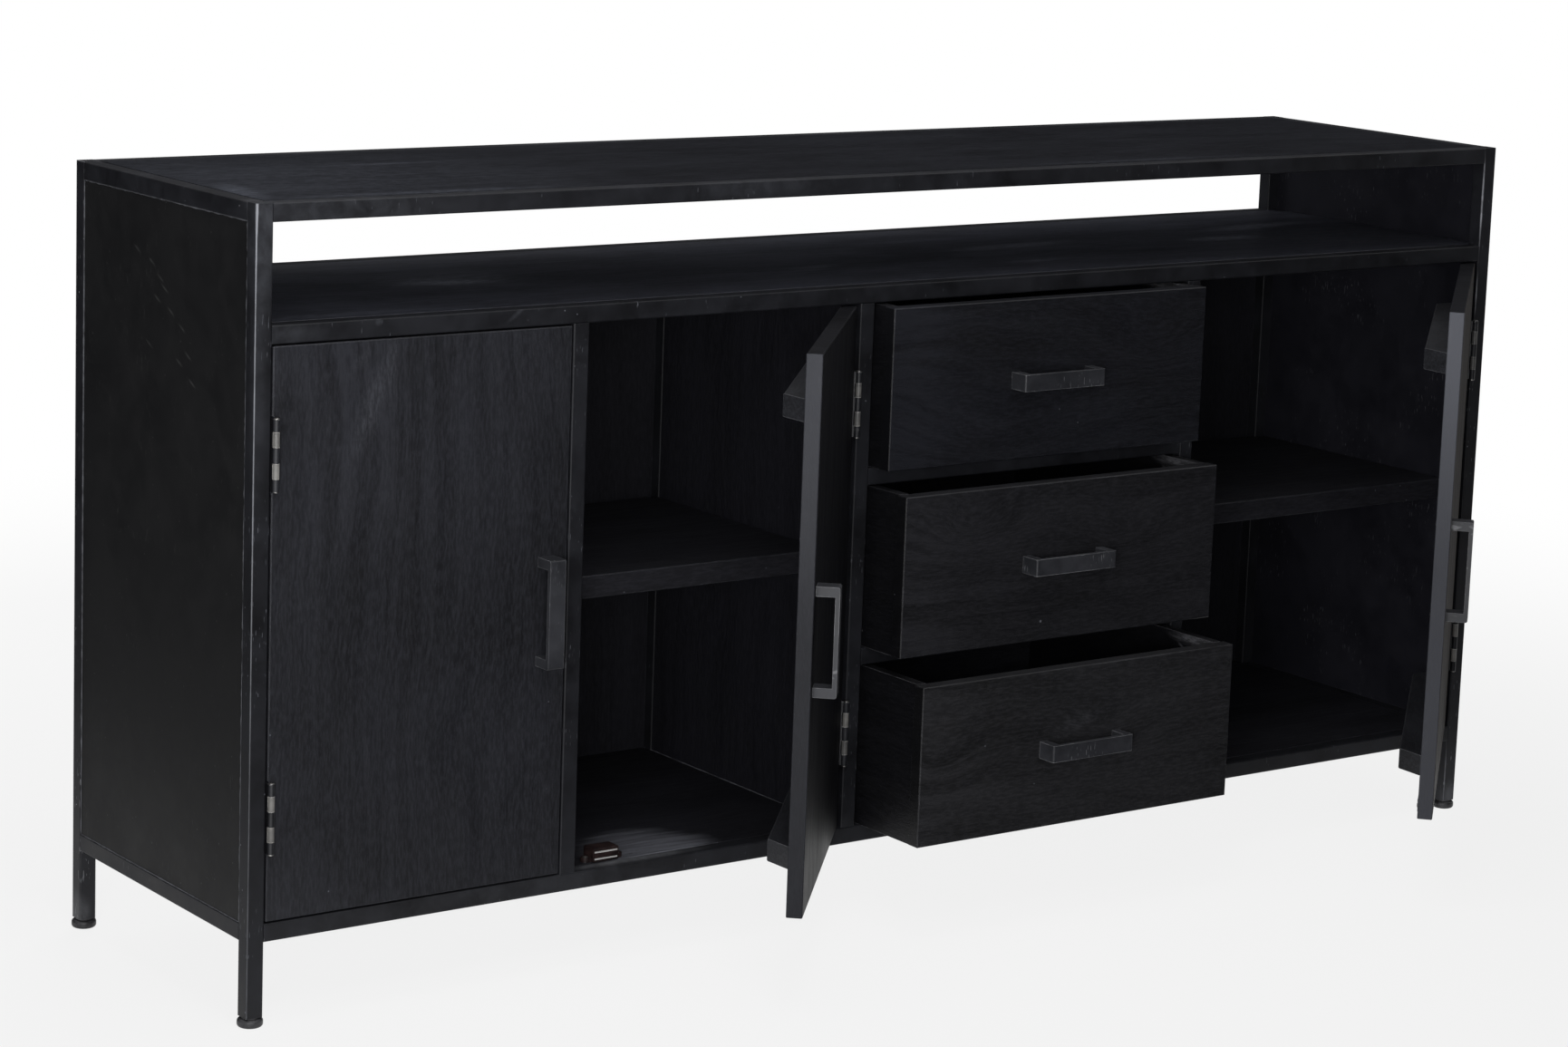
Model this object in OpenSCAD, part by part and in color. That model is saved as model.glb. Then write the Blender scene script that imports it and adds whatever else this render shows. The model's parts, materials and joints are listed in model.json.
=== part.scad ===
// Steel and wood sideboard: a square tube frame with inset boards and panels,
// an open shelf over two door cabinets and a bank of three drawers.
// X runs along the front, Y from front to back, Z up from the floor.

/* [Cabinet] */
// Overall width of the frame
cab_w = 1800; // [1600:10:2200]
// Overall depth of the frame
cab_d = 420; // [360:10:520]
// Overall height from the floor
cab_h = 880; // [760:10:1000]
// Clear height from the floor to the bottom rails
leg_h = 93; // [60:1:140]
// Clear width of the two narrow door bays; the drawers and the right door share the rest
door_bay_w = 370; // [300:5:420]
// Clear height of the open shelf under the top
open_shelf_h = 107; // [80:1:180]

/* [Tube frame] */
// Side of the square tube
tube = 20; // [18:1:25]
// Wall of the square tube
tube_wall = 1.5; // [1:0.1:2.5]
// Radius of the tube's outer corners
tube_round = 1.8; // [0.5:0.1:2]

/* [Boards] */
// Thickness of the top board
top_t = 18; // [12:1:20]
// Thickness of the deck board over the cabinets
deck_t = 16; // [12:1:18]
// Thickness of the floor board
floor_t = 16; // [12:1:18]
// Thickness of the upright partitions
partition_t = 18; // [12:1:18]
// Thickness of the cabinet shelves
shelf_t = 26; // [16:1:32]
// Clear space between the door battens and the front edges of the shelves
shelf_clear = 10; // [4:1:60]
// Thickness of the side sheets
side_sheet_t = 2; // [2:0.5:5]
// Thickness of the back sheets
back_sheet_t = 3; // [2:0.5:6]
// How far the side and back sheets sit in from the tube faces
sheet_set_in = 1; // [0.5:0.5:3]
// Width of the open joint line round the top board
joint_line_w = 0.8; // [0.4:0.1:2]
// Depth of the open joint line round the top board
joint_line_d = 2; // [1:0.5:4]
// Chamfer that eases the edges of boards, doors and drawer fronts
ease = 1; // [0.4:0.1:2]

/* [Doors] */
// Thickness of the doors
door_t = 18; // [15:1:20]
// Gap round doors and drawer fronts
front_gap = 2; // [1.6:0.1:4]
// Height of the battens across the back of a door
batten_h = 25; // [18:1:40]
// How far the battens stand off the back of a door
batten_d = 27; // [15:1:30]
// Distance from the top and bottom edges of a door to its battens
batten_edge = 50.5; // [30:0.5:90]
// Distance from a door's upright edges to the batten ends
batten_inset = 12; // [6:1:60]
// How much shorter a batten's inner face is at each slanted end
batten_slant = 28; // [0:1:32]
// Angle that the middle door stands open
middle_open_angle = 47.6; // [0:0.1:85]
// Angle that the right door stands open
right_open_angle = 42.8; // [0:0.1:110]

/* [Drawers] */
// Thickness of the drawer fronts
drawer_front_t = 18; // [14:1:22]
// Thickness of the drawer sides and back
drawer_side_t = 12; // [8:1:16]
// Thickness of the drawer bottoms
drawer_base_t = 6; // [4:0.5:9]
// Height of the groove that holds a drawer bottom above the side's lower edge
drawer_base_up = 8; // [5:1:15]
// Depth of the groove that holds a drawer bottom
drawer_groove = 6; // [3:0.5:7]
// Distance from a drawer front's ends to the drawer sides
drawer_side_in = 5; // [3:0.5:12]
// Clear space behind a closed drawer
drawer_back_gap = 25; // [10:1:80]
// Distance that the top drawer stands open
top_pull = 35; // [0:1:200]
// Distance that the middle drawer stands open
middle_pull = 71; // [0:1:200]
// Distance that the bottom drawer stands open
bottom_pull = 117; // [0:1:200]
// Width of the runner strips under the drawer sides
runner_w = 18; // [16:1:28]
// Height of the runner strips
runner_h = 14; // [8:1:20]
// Running clearance between drawer sides and runners
runner_gap = 0.5; // [0.3:0.1:1]

/* [Hinges] */
// Length of a butt hinge
hinge_len = 76; // [60:1:100]
// Length of the knuckle at each end of a hinge
end_knuckle = 13; // [9:0.5:18]
// Radius of the hinge pin
pin_r = 2.4; // [1.8:0.1:2.8]
// Radial clearance of the pin in the door's knuckles
pin_clear = 0.05; // [0.02:0.01:0.1]
// Height of the pin's heads
pin_head_t = 1.2; // [0.8:0.1:2]
// Gap between neighbouring knuckles
knuckle_gap = 0.3; // [0.2:0.05:0.6]
// Thickness of the hinge leaves and of the knuckles rolled from them
leaf_t = 1.2; // [0.8:0.1:1.4]
// Distance from the edge of a hinge leaf to the back of the door
leaf_back = 3; // [1:0.5:6]
// Distance from the top and bottom edges of a door to its hinges
hinge_edge = 75.5; // [40:0.5:100]
// How far the barrel stands clear of the door face
barrel_stand = 2; // [1.5:0.1:4]
// Clear space between a leaf's notches and the knuckles that turn in them
notch_clear = 1; // [0.4:0.1:1.4]
// How much longer than the leaf its mortise is at each end
mortise_over = 2.5; // [0.5:0.5:4]

/* [Handles] */
// Overall length of a handle
handle_len = 122; // [90:1:140]
// Width of the handle bar
handle_w = 20; // [14:1:26]
// Distance from the face to the outside of the bar
handle_stand = 26; // [20:1:34]
// Thickness of the handle bar
handle_bar_t = 5; // [3:0.5:8]
// Thickness of the handle's two feet
handle_foot_t = 11; // [6:0.5:16]
// Radius of the handle's outer corners
handle_round = 2.5; // [1:0.5:4]
// Distance from a door's free edge to the middle of its handle
handle_edge = 27; // [16:1:60]
// How far door handles sit below the middle of the door
handle_drop = 6; // [0:1:60]

/* [Catches and feet] */
// Length of a magnetic catch's housing
catch_len = 34; // [28:1:50]
// Height of a catch's housing
catch_h = 16; // [12:0.5:20]
// Depth of a catch's housing
catch_d = 20; // [16:0.5:26]
// Length of the screw lug at each end of a catch
catch_lug = 10; // [8:0.5:16]
// Width of the screw lugs
catch_lug_w = 12; // [8:0.5:14]
// Thickness of a catch's two pole plates
pole_t = 1.6; // [1:0.1:2]
// How far the pole plates stand out of the housing
pole_out = 1; // [0.6:0.1:2]
// Thickness of the strike plate on a door
strike_t = 1.2; // [0.8:0.1:2]
// Gap between the pole plates and the strike plate of a closed door
catch_gap = 0.4; // [0.2:0.1:1]
// Distance from a door's free edge to the end of its catch
catch_edge = 25.5; // [3:0.5:40]
// Radius of the foot glides
glide_r = 14; // [11:0.1:18]
// Height of the foot glides below the tube ends
glide_h = 11; // [9:0.5:20]
// Height of the neck between the glide's disc and the tube
glide_neck_h = 1.5; // [0.5:0.1:2]
// Radius of the glide's round rim
glide_rim = 3.5; // [1:0.1:3.5]
// Length of the glide's plug inside the tube
glide_plug = 15; // [8:1:25]
// Clearance of the glide's plug inside the tube
glide_clear = 0.4; // [0.2:0.1:0.8]

/* [Hidden] */
$fn = 48;
// How far a cut runs past the face that it opens
past = 1;
// Least radius inside a tube's corners
least_round = 0.2;

steel = [0.13, 0.135, 0.15];
stained_wood = [0.11, 0.11, 0.12];
bare_steel = [0.62, 0.61, 0.58];
brown_plastic = [0.28, 0.17, 0.12];
dark_plastic = [0.2, 0.2, 0.21];

// Upright positions of the frame, and the width of the drawer bay and the right door's bay
inner_w = cab_w - 2 * tube;
wide_bay_w = (inner_w - 3 * tube) / 2 - door_bay_w;
stile_left_x = tube + door_bay_w;
stile_middle_x = stile_left_x + tube + door_bay_w;
stile_right_x = stile_middle_x + tube + wide_bay_w;
back_y = cab_d - tube;

// Heights of the frame
bay_z0 = leg_h + tube;
deck_top = cab_h - tube - open_shelf_h;
bay_z1 = deck_top - tube;
bay_h = bay_z1 - bay_z0;
bay_mid = (bay_z0 + bay_z1) / 2;
drawer_pitch = (bay_h - 2 * tube) / 3 + tube;

// Inner faces of the side sheets and the partitions
sheet_in = sheet_set_in + side_sheet_t;
partition_in = (tube - partition_t) / 2;

// Doors, measured from the hinge pin
barrel_r = pin_r + leaf_t;
pin_front = barrel_r + barrel_stand;
door_off = front_gap - barrel_r;
door_h = bay_h - 2 * front_gap;
door_z0 = bay_z0 + front_gap;
leaf_end = pin_front + door_t - leaf_back;
shelf_y = door_t + batten_d + shelf_clear;

// Drawers
drawer_h = drawer_pitch - tube;
drawer_front_h = drawer_h - 2 * front_gap;
drawer_w = wide_bay_w - 2 * front_gap;

// The frame of reference: the middle of the floor that the piece covers as it
// stands, between the back of the cabinet and the foremost corner of a door
right_door_w = wide_bay_w - 2 * front_gap;
narrow_door_w = door_bay_w - 2 * front_gap;
function door_reach(w, a) =
  (door_off + w) * sin(a) - pin_front * cos(a) + pin_front;
function handle_reach(w, a) =
  (door_off + w - handle_edge + handle_w / 2) * sin(a) + (handle_stand - pin_front) * cos(a) + pin_front;
front_reach = max(
  door_reach(right_door_w, right_open_angle), handle_reach(right_door_w, right_open_angle),
  door_reach(narrow_door_w, middle_open_angle), handle_reach(narrow_door_w, middle_open_angle),
  handle_stand + max(top_pull, middle_pull, bottom_pull)
);
glide_over = max(glide_r - tube / 2, 0);
origin = [-cab_w / 2, (front_reach - cab_d - glide_over) / 2, 0];

// ---- Shapes that repeat ----

// Square tube section with round corners, standing on the XY plane
module tube_section(grow = 0) {
  side = tube + 2 * grow;
  corner = max(tube_round + grow, least_round);
  translate([corner - grow, -grow]) square([side - 2 * corner, side]);
  translate([-grow, corner - grow]) square([side, side - 2 * corner]);
  for (x = [corner - grow, tube + grow - corner], y = [corner - grow, tube + grow - corner])
    translate([x, y]) circle(r = corner);
}

// Hollow upright tube of a given length
module tube_z(len) {
  difference() {
    linear_extrude(len) tube_section();
    translate([0, 0, -past]) linear_extrude(len + 2 * past) tube_section(-tube_wall);
  }
}

// Hollow tube along X or along Y, its lower front left corner at the origin
module tube_x(len) {
  translate([0, 0, tube]) rotate([0, 90, 0]) tube_z(len);
}
module tube_y(len) {
  translate([0, len, 0]) rotate([90, 0, 0]) tube_z(len);
}

// Rectangle with cut corners
module cut_rect(w, h, c) {
  polygon([[c, 0], [w - c, 0], [w, c], [w, h - c], [w - c, h], [c, h], [0, h - c], [0, c]]);
}

// Board with all its edges eased
module board(size, c = ease) {
  intersection() {
    linear_extrude(size.z) cut_rect(size.x, size.y, c);
    translate([0, size.y, 0]) rotate([90, 0, 0]) linear_extrude(size.y) cut_rect(size.x, size.z, c);
    rotate([90, 0, 90]) linear_extrude(size.x) cut_rect(size.y, size.z, c);
  }
}

// ---- Frame ----

// Corner post: a tube closed by a welded cap at its upper end
module post() {
  difference() {
    linear_extrude(cab_h - glide_h) tube_section();
    translate([0, 0, -past])
      linear_extrude(cab_h - glide_h - tube_wall + past) tube_section(-tube_wall);
  }
}

module place_post(x, y) {
  color(steel) translate(origin + [x, y, glide_h]) post();
}

// Rails along the front and back, between the posts
module long_rail(y, z) {
  color(steel) translate(origin + [tube, y, z]) tube_x(inner_w);
}

// Rails along the ends, between the posts
module end_rail(x, z) {
  color(steel) translate(origin + [x, tube, z]) tube_y(cab_d - 2 * tube);
}

// Uprights between the bottom rail and the deck rail
module stiles(x_list, y) {
  color(steel)
    for (x = x_list)
      translate(origin + [x, y, bay_z0]) tube_z(bay_h);
}

// Rails between the drawers
module drawer_rails() {
  color(steel)
    for (i = [1, 2])
      translate(origin + [stile_middle_x + tube, 0, bay_z0 + i * drawer_pitch - tube])
        tube_x(wide_bay_w);
}

// ---- Boards and sheets ----

// Top board, let into the frame behind an open joint line
module top_board() {
  w = inner_w;
  d = cab_d - 2 * tube;
  color(stained_wood)
    translate(origin + [tube, tube, cab_h - top_t]) {
      cube([w, d, top_t - joint_line_d]);
      translate([joint_line_w, joint_line_w, 0])
        cube([w - 2 * joint_line_w, d - 2 * joint_line_w, top_t]);
    }
}

// Board that lies between the front and back rails, in from both ends
module flat_board(end, z, t) {
  color(stained_wood)
    translate(origin + [end, tube, z])
      board([cab_w - 2 * end, cab_d - 2 * tube, t]);
}

// Side sheet, set into the frame of posts and end rails
module side_sheet(x) {
  color(steel)
    translate(origin + [x, tube, bay_z0])
      cube([side_sheet_t, cab_d - 2 * tube, cab_h - tube - bay_z0]);
}

// Back sheets of the three closed compartments
module back_sheets() {
  color(stained_wood)
    for (x = [[tube, stile_middle_x], [stile_middle_x + tube, stile_right_x],
              [stile_right_x + tube, cab_w - tube]])
      translate(origin + [x[0], cab_d - sheet_set_in - back_sheet_t, bay_z0])
        cube([x[1] - x[0], back_sheet_t, bay_h]);
}

// Partition behind a front stile, from the floor board to the deck board
module partition(x) {
  color(stained_wood)
    translate(origin + [x + partition_in, tube, bay_z0])
      board([partition_t, cab_d - 2 * tube, deck_top - deck_t - bay_z0]);
}

// Shelf between two upright faces, back to the rear tubes
module shelf(x0, x1) {
  color(stained_wood)
    translate(origin + [x0, shelf_y, bay_mid - shelf_t / 2])
      board([x1 - x0, back_y - shelf_y, shelf_t]);
}

// Strips on the partitions that the sides of the upper two drawers run on
module drawer_runners() {
  color(stained_wood)
    for (i = [1, 2],
         x = [stile_middle_x + partition_in + partition_t, stile_right_x + partition_in - runner_w])
      translate(origin + [x, tube, bay_z0 + i * drawer_pitch - runner_h])
        board([runner_w, cab_d - 2 * tube, runner_h], ease / 2);
}

// ---- Feet ----

// Glide: a disc with a round rim, a neck that bears on the tube, and a plug in it
module glide() {
  disc_h = glide_h - glide_neck_h;
  rim_x = glide_r - glide_rim;
  rotate_extrude() {
    square([rim_x, disc_h]);
    translate([0, glide_rim]) square([glide_r, disc_h - 2 * glide_rim]);
    for (z = [glide_rim, disc_h - glide_rim]) translate([rim_x, z]) circle(r = glide_rim);
    square([(tube - tube_wall) / 2, glide_h]);
    square([tube / 2 - tube_wall - glide_clear, glide_h + glide_plug]);
  }
}

module foot_glides() {
  color(dark_plastic)
    for (x = [tube / 2, cab_w - tube / 2], y = [tube / 2, cab_d - tube / 2])
      translate(origin + [x, y, 0]) glide();
}

// ---- Hinges ----
// Hinge pieces are drawn about the pin, for a door that reaches out along +X.

// Heights at which the five knuckles meet, the outer two shorter than the rest
inner_knuckle = (hinge_len - 2 * end_knuckle) / 3;
knuckle_z = [
  0, end_knuckle, end_knuckle + inner_knuckle, hinge_len - end_knuckle - inner_knuckle,
  hinge_len - end_knuckle, hinge_len
];
last_knuckle = len(knuckle_z) - 2;

// Row of rolled knuckles that starts at the first one given
module knuckles(first) {
  for (i = [first:2:last_knuckle])
    translate([0, 0, knuckle_z[i] + knuckle_gap / 2])
      cylinder(r = barrel_r, h = knuckle_z[i + 1] - knuckle_z[i] - knuckle_gap);
}

// Leaf plate from y = root to its far edge, notched where the other leaf's
// knuckles turn
module leaf_plate(x, first, root) {
  difference() {
    translate([x, root, 0]) cube([leaf_t, leaf_end - root, hinge_len]);
    for (i = [1 - first:2:last_knuckle])
      translate([x - leaf_t / 2, 0, knuckle_z[i] - knuckle_gap / 2])
        cube([2 * leaf_t, barrel_r + notch_clear, knuckle_z[i + 1] - knuckle_z[i] + knuckle_gap]);
  }
}

// Leaf fixed to the post: its outer side runs straight into the knuckles
module frame_leaf() {
  difference() {
    union() {
      knuckles(1);
      leaf_plate(-barrel_r, 1, pin_r / 2);
    }
    cylinder(r = pin_r, h = hinge_len);
  }
}

// Leaf let into the edge of the door: it meets its knuckles from behind
module door_leaf() {
  difference() {
    union() {
      knuckles(0);
      leaf_plate(door_off, 0, pin_r + leaf_t / 2);
    }
    translate([0, 0, -past]) cylinder(r = pin_r + pin_clear, h = hinge_len + 2 * past);
  }
}

// Pin with a low chamfered head at each end
module hinge_pin() {
  head_r = barrel_r - leaf_t / 4;
  soft = pin_head_t / 3;
  top = hinge_len + knuckle_gap / 2;
  low = -knuckle_gap / 2;
  rotate_extrude()
    polygon([
      [0, low - pin_head_t], [head_r - soft, low - pin_head_t], [head_r, low - pin_head_t + soft],
      [head_r, low], [pin_r, low], [pin_r, top], [head_r, top],
      [head_r, top + pin_head_t - soft], [head_r - soft, top + pin_head_t], [0, top + pin_head_t]
    ]);
}

// Lower ends of the two hinges of a door
hinge_z = [door_z0 + hinge_edge, door_z0 + door_h - hinge_edge - hinge_len];

// Pin of each door, and 1 where it hangs on the right side of its bay
door_pins = [
  [tube + barrel_r, 0],
  [stile_middle_x - barrel_r, 1],
  [cab_w - tube - barrel_r, 1]
];
door_widths = [narrow_door_w, narrow_door_w, right_door_w];
door_angles = [0, middle_open_angle, right_open_angle];

// Puts a piece on the pin of door i, turned by the given angle
module at_pin(i, angle = 0) {
  translate(origin + [door_pins[i][0], -pin_front, 0])
    mirror([door_pins[i][1], 0, 0])
      rotate([0, 0, -angle])
        children();
}

module hinge_frame_leaves() {
  color(bare_steel)
    for (i = [0:2], z = hinge_z)
      at_pin(i) translate([0, 0, z]) frame_leaf();
}

module hinge_pins() {
  color(bare_steel)
    for (i = [0:2], z = hinge_z)
      at_pin(i) translate([0, 0, z]) hinge_pin();
}

// ---- Doors ----

// Door panel with a mortise in its edge for each hinge leaf
module door_panel(i) {
  w = door_widths[i];
  color(stained_wood)
    at_pin(i, door_angles[i])
      difference() {
        translate([door_off, pin_front, door_z0]) board([w, door_t, door_h]);
        for (z = hinge_z)
          translate([door_off - leaf_t, pin_front - leaf_t, z - mortise_over])
            cube([2 * leaf_t, leaf_end - pin_front + leaf_t, hinge_len + 2 * mortise_over]);
      }
}

// Batten lying along X, its face on the door at y = 0, with slanted ends
module batten(w) {
  intersection() {
    linear_extrude(batten_h)
      polygon([[0, 0], [w, 0], [w - batten_slant, batten_d], [batten_slant, batten_d]]);
    rotate([90, 0, 90]) linear_extrude(w) cut_rect(batten_d, batten_h, ease);
  }
}

// Battens across the back of a door
module door_battens(i) {
  color(stained_wood)
    at_pin(i, door_angles[i])
      for (z = [batten_edge, door_h - batten_edge - batten_h])
        translate([door_off + batten_inset, pin_front + door_t, door_z0 + z])
          batten(door_widths[i] - 2 * batten_inset);
}

// Handle profile: two feet and a bar, drawn in plan with the face along X
module handle_profile() {
  r = handle_round;
  difference() {
    union() {
      translate([0, r - handle_stand]) square([handle_len, handle_stand - r]);
      translate([r, -handle_stand]) square([handle_len - 2 * r, r]);
      for (x = [r, handle_len - r]) translate([x, r - handle_stand]) circle(r = r);
    }
    translate([handle_foot_t, handle_bar_t - handle_stand])
      square([handle_len - 2 * handle_foot_t, handle_stand]);
  }
}

// Handle lying along X, its middle at the origin of the face
module handle() {
  translate([-handle_len / 2, 0, -handle_w / 2]) linear_extrude(handle_w) handle_profile();
}

module door_handle(i) {
  color(steel)
    at_pin(i, door_angles[i])
      translate([door_off + door_widths[i] - handle_edge, pin_front, bay_mid - handle_drop])
        rotate([0, 90, 0]) handle();
}

// Door leaves of both hinges and the strike plate of the catch
module door_fittings(i) {
  x = door_off + door_widths[i] - catch_edge - catch_lug - catch_len;
  color(bare_steel)
    at_pin(i, door_angles[i]) {
      for (z = hinge_z) translate([0, 0, z]) door_leaf();
      translate([x, pin_front + door_t, door_z0]) cube([catch_len, strike_t, catch_h]);
    }
}

// ---- Catches ----

catch_y = door_t + strike_t + pole_out + catch_gap;

// Puts a catch on the floor at the free edge of door i
module at_catch(i) {
  at_pin(i)
    translate([door_off + door_widths[i] - catch_edge - catch_lug - catch_len,
               pin_front + catch_y, bay_z0])
      children();
}

// Screw lug that reaches out along +X to a round end, with a countersunk hole
module screw_lug() {
  lug_h = catch_h / 3;
  lug_r = catch_lug_w / 2;
  hole_r = lug_r / 3;
  sink_r = lug_r * 2 / 3;
  difference() {
    union() {
      translate([-ease, -lug_r, 0]) cube([catch_lug - lug_r + ease, catch_lug_w, lug_h]);
      translate([catch_lug - lug_r, 0, 0]) cylinder(r = lug_r, h = lug_h);
    }
    translate([catch_lug - lug_r, 0, 0]) {
      translate([0, 0, -past]) cylinder(r = hole_r, h = lug_h + 2 * past);
      translate([0, 0, lug_h / 2]) cylinder(r1 = hole_r, r2 = sink_r, h = lug_h / 2);
    }
  }
}

// Housing with its upper edges eased and a screw lug at each end
module catch_housing() {
  intersection() {
    translate([0, catch_d, 0]) rotate([90, 0, 0])
      linear_extrude(catch_d) cut_rect(catch_len, catch_h, ease);
    rotate([90, 0, 90]) linear_extrude(catch_len) cut_rect(catch_d, catch_h, ease);
  }
  translate([catch_len, catch_d / 2, 0]) screw_lug();
  translate([0, catch_d / 2, 0]) mirror([1, 0, 0]) screw_lug();
}

module catch_housings() {
  color(brown_plastic)
    for (i = [0:2])
      at_catch(i)
        difference() {
          catch_housing();
          pole_plates();
        }
}

// Two steel plates that lie in slots of the housing and meet the strike plate
module pole_plates() {
  inset = ease * 2;
  for (z = [catch_h / 4 - pole_t / 2, catch_h * 3 / 4 - pole_t / 2])
    translate([inset, -pole_out, z]) cube([catch_len - 2 * inset, catch_d / 2 + pole_out, pole_t]);
}

module catch_poles() {
  color(bare_steel)
    for (i = [0:2]) at_catch(i) pole_plates();
}

// ---- Drawers ----
// Drawer i counts from the bottom; its pieces are drawn closed, from the
// lower left corner of its opening, and moved out by its pull.

pulls = [bottom_pull, middle_pull, top_pull];

module at_drawer(i) {
  translate(origin + [stile_middle_x + tube, -pulls[i], bay_z0 + i * drawer_pitch]) children();
}

box_x = front_gap + drawer_side_in;
box_w = drawer_w - 2 * drawer_side_in;
box_d = back_y - drawer_back_gap - drawer_front_t;
box_h = drawer_front_h + front_gap - runner_gap;

// Room for the drawer bottom, which stands in grooves on all four sides
module base_room() {
  translate([box_x + drawer_side_t - drawer_groove, drawer_front_t - drawer_groove,
             runner_gap + drawer_base_up])
    cube([box_w - 2 * drawer_side_t + 2 * drawer_groove,
          box_d - drawer_side_t + 2 * drawer_groove, drawer_base_t]);
}

module drawer_front(i) {
  color(stained_wood)
    at_drawer(i)
      difference() {
        translate([front_gap, 0, front_gap]) board([drawer_w, drawer_front_t, drawer_front_h]);
        base_room();
      }
}

module drawer_sides(i) {
  color(stained_wood)
    at_drawer(i)
      difference() {
        for (x = [0, box_w - drawer_side_t])
          translate([box_x + x, drawer_front_t, runner_gap]) cube([drawer_side_t, box_d, box_h]);
        base_room();
      }
}

// Back, let in between the sides
module drawer_back(i) {
  color(stained_wood)
    at_drawer(i)
      difference() {
        translate([box_x + drawer_side_t, drawer_front_t + box_d - drawer_side_t, runner_gap])
          cube([box_w - 2 * drawer_side_t, drawer_side_t, box_h]);
        base_room();
      }
}

module drawer_base(i) {
  color(stained_wood) at_drawer(i) base_room();
}

module drawer_handle(i) {
  color(steel)
    at_drawer(i)
      translate([wide_bay_w / 2, 0, drawer_h / 2]) handle();
}

// ---- Nodes ----

place_post(0, 0);  // post_front_left
place_post(cab_w - tube, 0);  // post_front_right
place_post(0, back_y);  // post_back_left
place_post(cab_w - tube, back_y);  // post_back_right
long_rail(0, cab_h - tube);  // top_rail_front
long_rail(back_y, cab_h - tube);  // top_rail_back
end_rail(0, cab_h - tube);  // top_rail_left
end_rail(cab_w - tube, cab_h - tube);  // top_rail_right
long_rail(0, leg_h);  // bottom_rail_front
long_rail(back_y, leg_h);  // bottom_rail_back
end_rail(0, leg_h);  // bottom_rail_left
end_rail(cab_w - tube, leg_h);  // bottom_rail_right
long_rail(0, deck_top - tube);  // deck_rail_front
long_rail(back_y, deck_top - tube);  // deck_rail_back
stiles([stile_left_x, stile_middle_x, stile_right_x], 0);  // front_stiles
stiles([stile_middle_x, stile_right_x], back_y);  // back_stiles
drawer_rails();
top_board();
flat_board(sheet_in, deck_top - deck_t, deck_t);  // deck_board
flat_board(tube, bay_z0 - floor_t, floor_t);  // floor_board
side_sheet(sheet_set_in);  // side_sheet_left
side_sheet(cab_w - sheet_in);  // side_sheet_right
back_sheets();
partition(stile_middle_x);  // partition_left
partition(stile_right_x);  // partition_right
shelf(sheet_in, stile_middle_x + partition_in);  // shelf_left
shelf(stile_right_x + partition_in + partition_t, cab_w - sheet_in);  // shelf_right
drawer_runners();
catch_housings();
catch_poles();
hinge_frame_leaves();
hinge_pins();
foot_glides();
door_panel(0);  // door_left_panel
door_battens(0);  // door_left_battens
door_handle(0);  // door_left_handle
door_fittings(0);  // door_left_fittings
door_panel(1);  // door_middle_panel
door_battens(1);  // door_middle_battens
door_handle(1);  // door_middle_handle
door_fittings(1);  // door_middle_fittings
door_panel(2);  // door_right_panel
door_battens(2);  // door_right_battens
door_handle(2);  // door_right_handle
door_fittings(2);  // door_right_fittings
drawer_front(2);  // drawer_top_front
drawer_sides(2);  // drawer_top_sides
drawer_back(2);  // drawer_top_back
drawer_base(2);  // drawer_top_base
drawer_handle(2);  // drawer_top_handle
drawer_front(1);  // drawer_middle_front
drawer_sides(1);  // drawer_middle_sides
drawer_back(1);  // drawer_middle_back
drawer_base(1);  // drawer_middle_base
drawer_handle(1);  // drawer_middle_handle
drawer_front(0);  // drawer_bottom_front
drawer_sides(0);  // drawer_bottom_sides
drawer_back(0);  // drawer_bottom_back
drawer_base(0);  // drawer_bottom_base
drawer_handle(0);  // drawer_bottom_handle
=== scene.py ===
import json
import math
from collections import namedtuple

import bmesh
import bpy
from mathutils import Matrix, Vector, noise


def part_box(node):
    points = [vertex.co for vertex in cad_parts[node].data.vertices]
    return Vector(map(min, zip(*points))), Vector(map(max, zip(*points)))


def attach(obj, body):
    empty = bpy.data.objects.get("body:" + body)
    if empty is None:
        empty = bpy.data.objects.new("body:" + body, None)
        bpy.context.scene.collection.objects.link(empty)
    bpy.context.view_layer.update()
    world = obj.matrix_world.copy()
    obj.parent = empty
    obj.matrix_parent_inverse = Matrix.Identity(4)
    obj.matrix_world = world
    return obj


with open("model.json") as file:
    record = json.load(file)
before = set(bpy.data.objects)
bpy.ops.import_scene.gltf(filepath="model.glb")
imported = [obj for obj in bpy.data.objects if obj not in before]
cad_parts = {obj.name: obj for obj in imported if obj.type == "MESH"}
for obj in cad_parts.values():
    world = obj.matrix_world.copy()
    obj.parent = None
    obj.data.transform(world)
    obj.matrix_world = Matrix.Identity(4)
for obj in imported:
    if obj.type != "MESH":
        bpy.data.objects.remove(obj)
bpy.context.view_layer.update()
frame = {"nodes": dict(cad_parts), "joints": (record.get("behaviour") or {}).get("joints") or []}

NODES = frame["nodes"]
MM = 0.001
X, Y, Z = (1.0, 0.0, 0.0), (0.0, 1.0, 0.0), (0.0, 0.0, 1.0)
ORIGIN = (0.0, 0.0, 0.0)

# What a finish is told about one mark. Lengths are in metres. A place on steel is a place in the frame,
# and a place on wood is counted across, through and along the grain, from the board's start.
Stroke = namedtuple("Stroke", "at way half_length half_width strength")
Knot = namedtuple("Knot", "at half_width half_length rise")
Cloud = namedtuple("Cloud", "at reach strength")
# A band of colour painted over one face or end of a board; on the doors it is painted light, a warm
# reflection on the right door's outer face and sheen down the free edges.
Band = namedtuple("Band", "axis inner outer strength stain foot_share", defaults=(1.0,))
ACROSS, THROUGH, ALONG = 0, 1, 2


# ---- Small helpers for node trees ----

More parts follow.
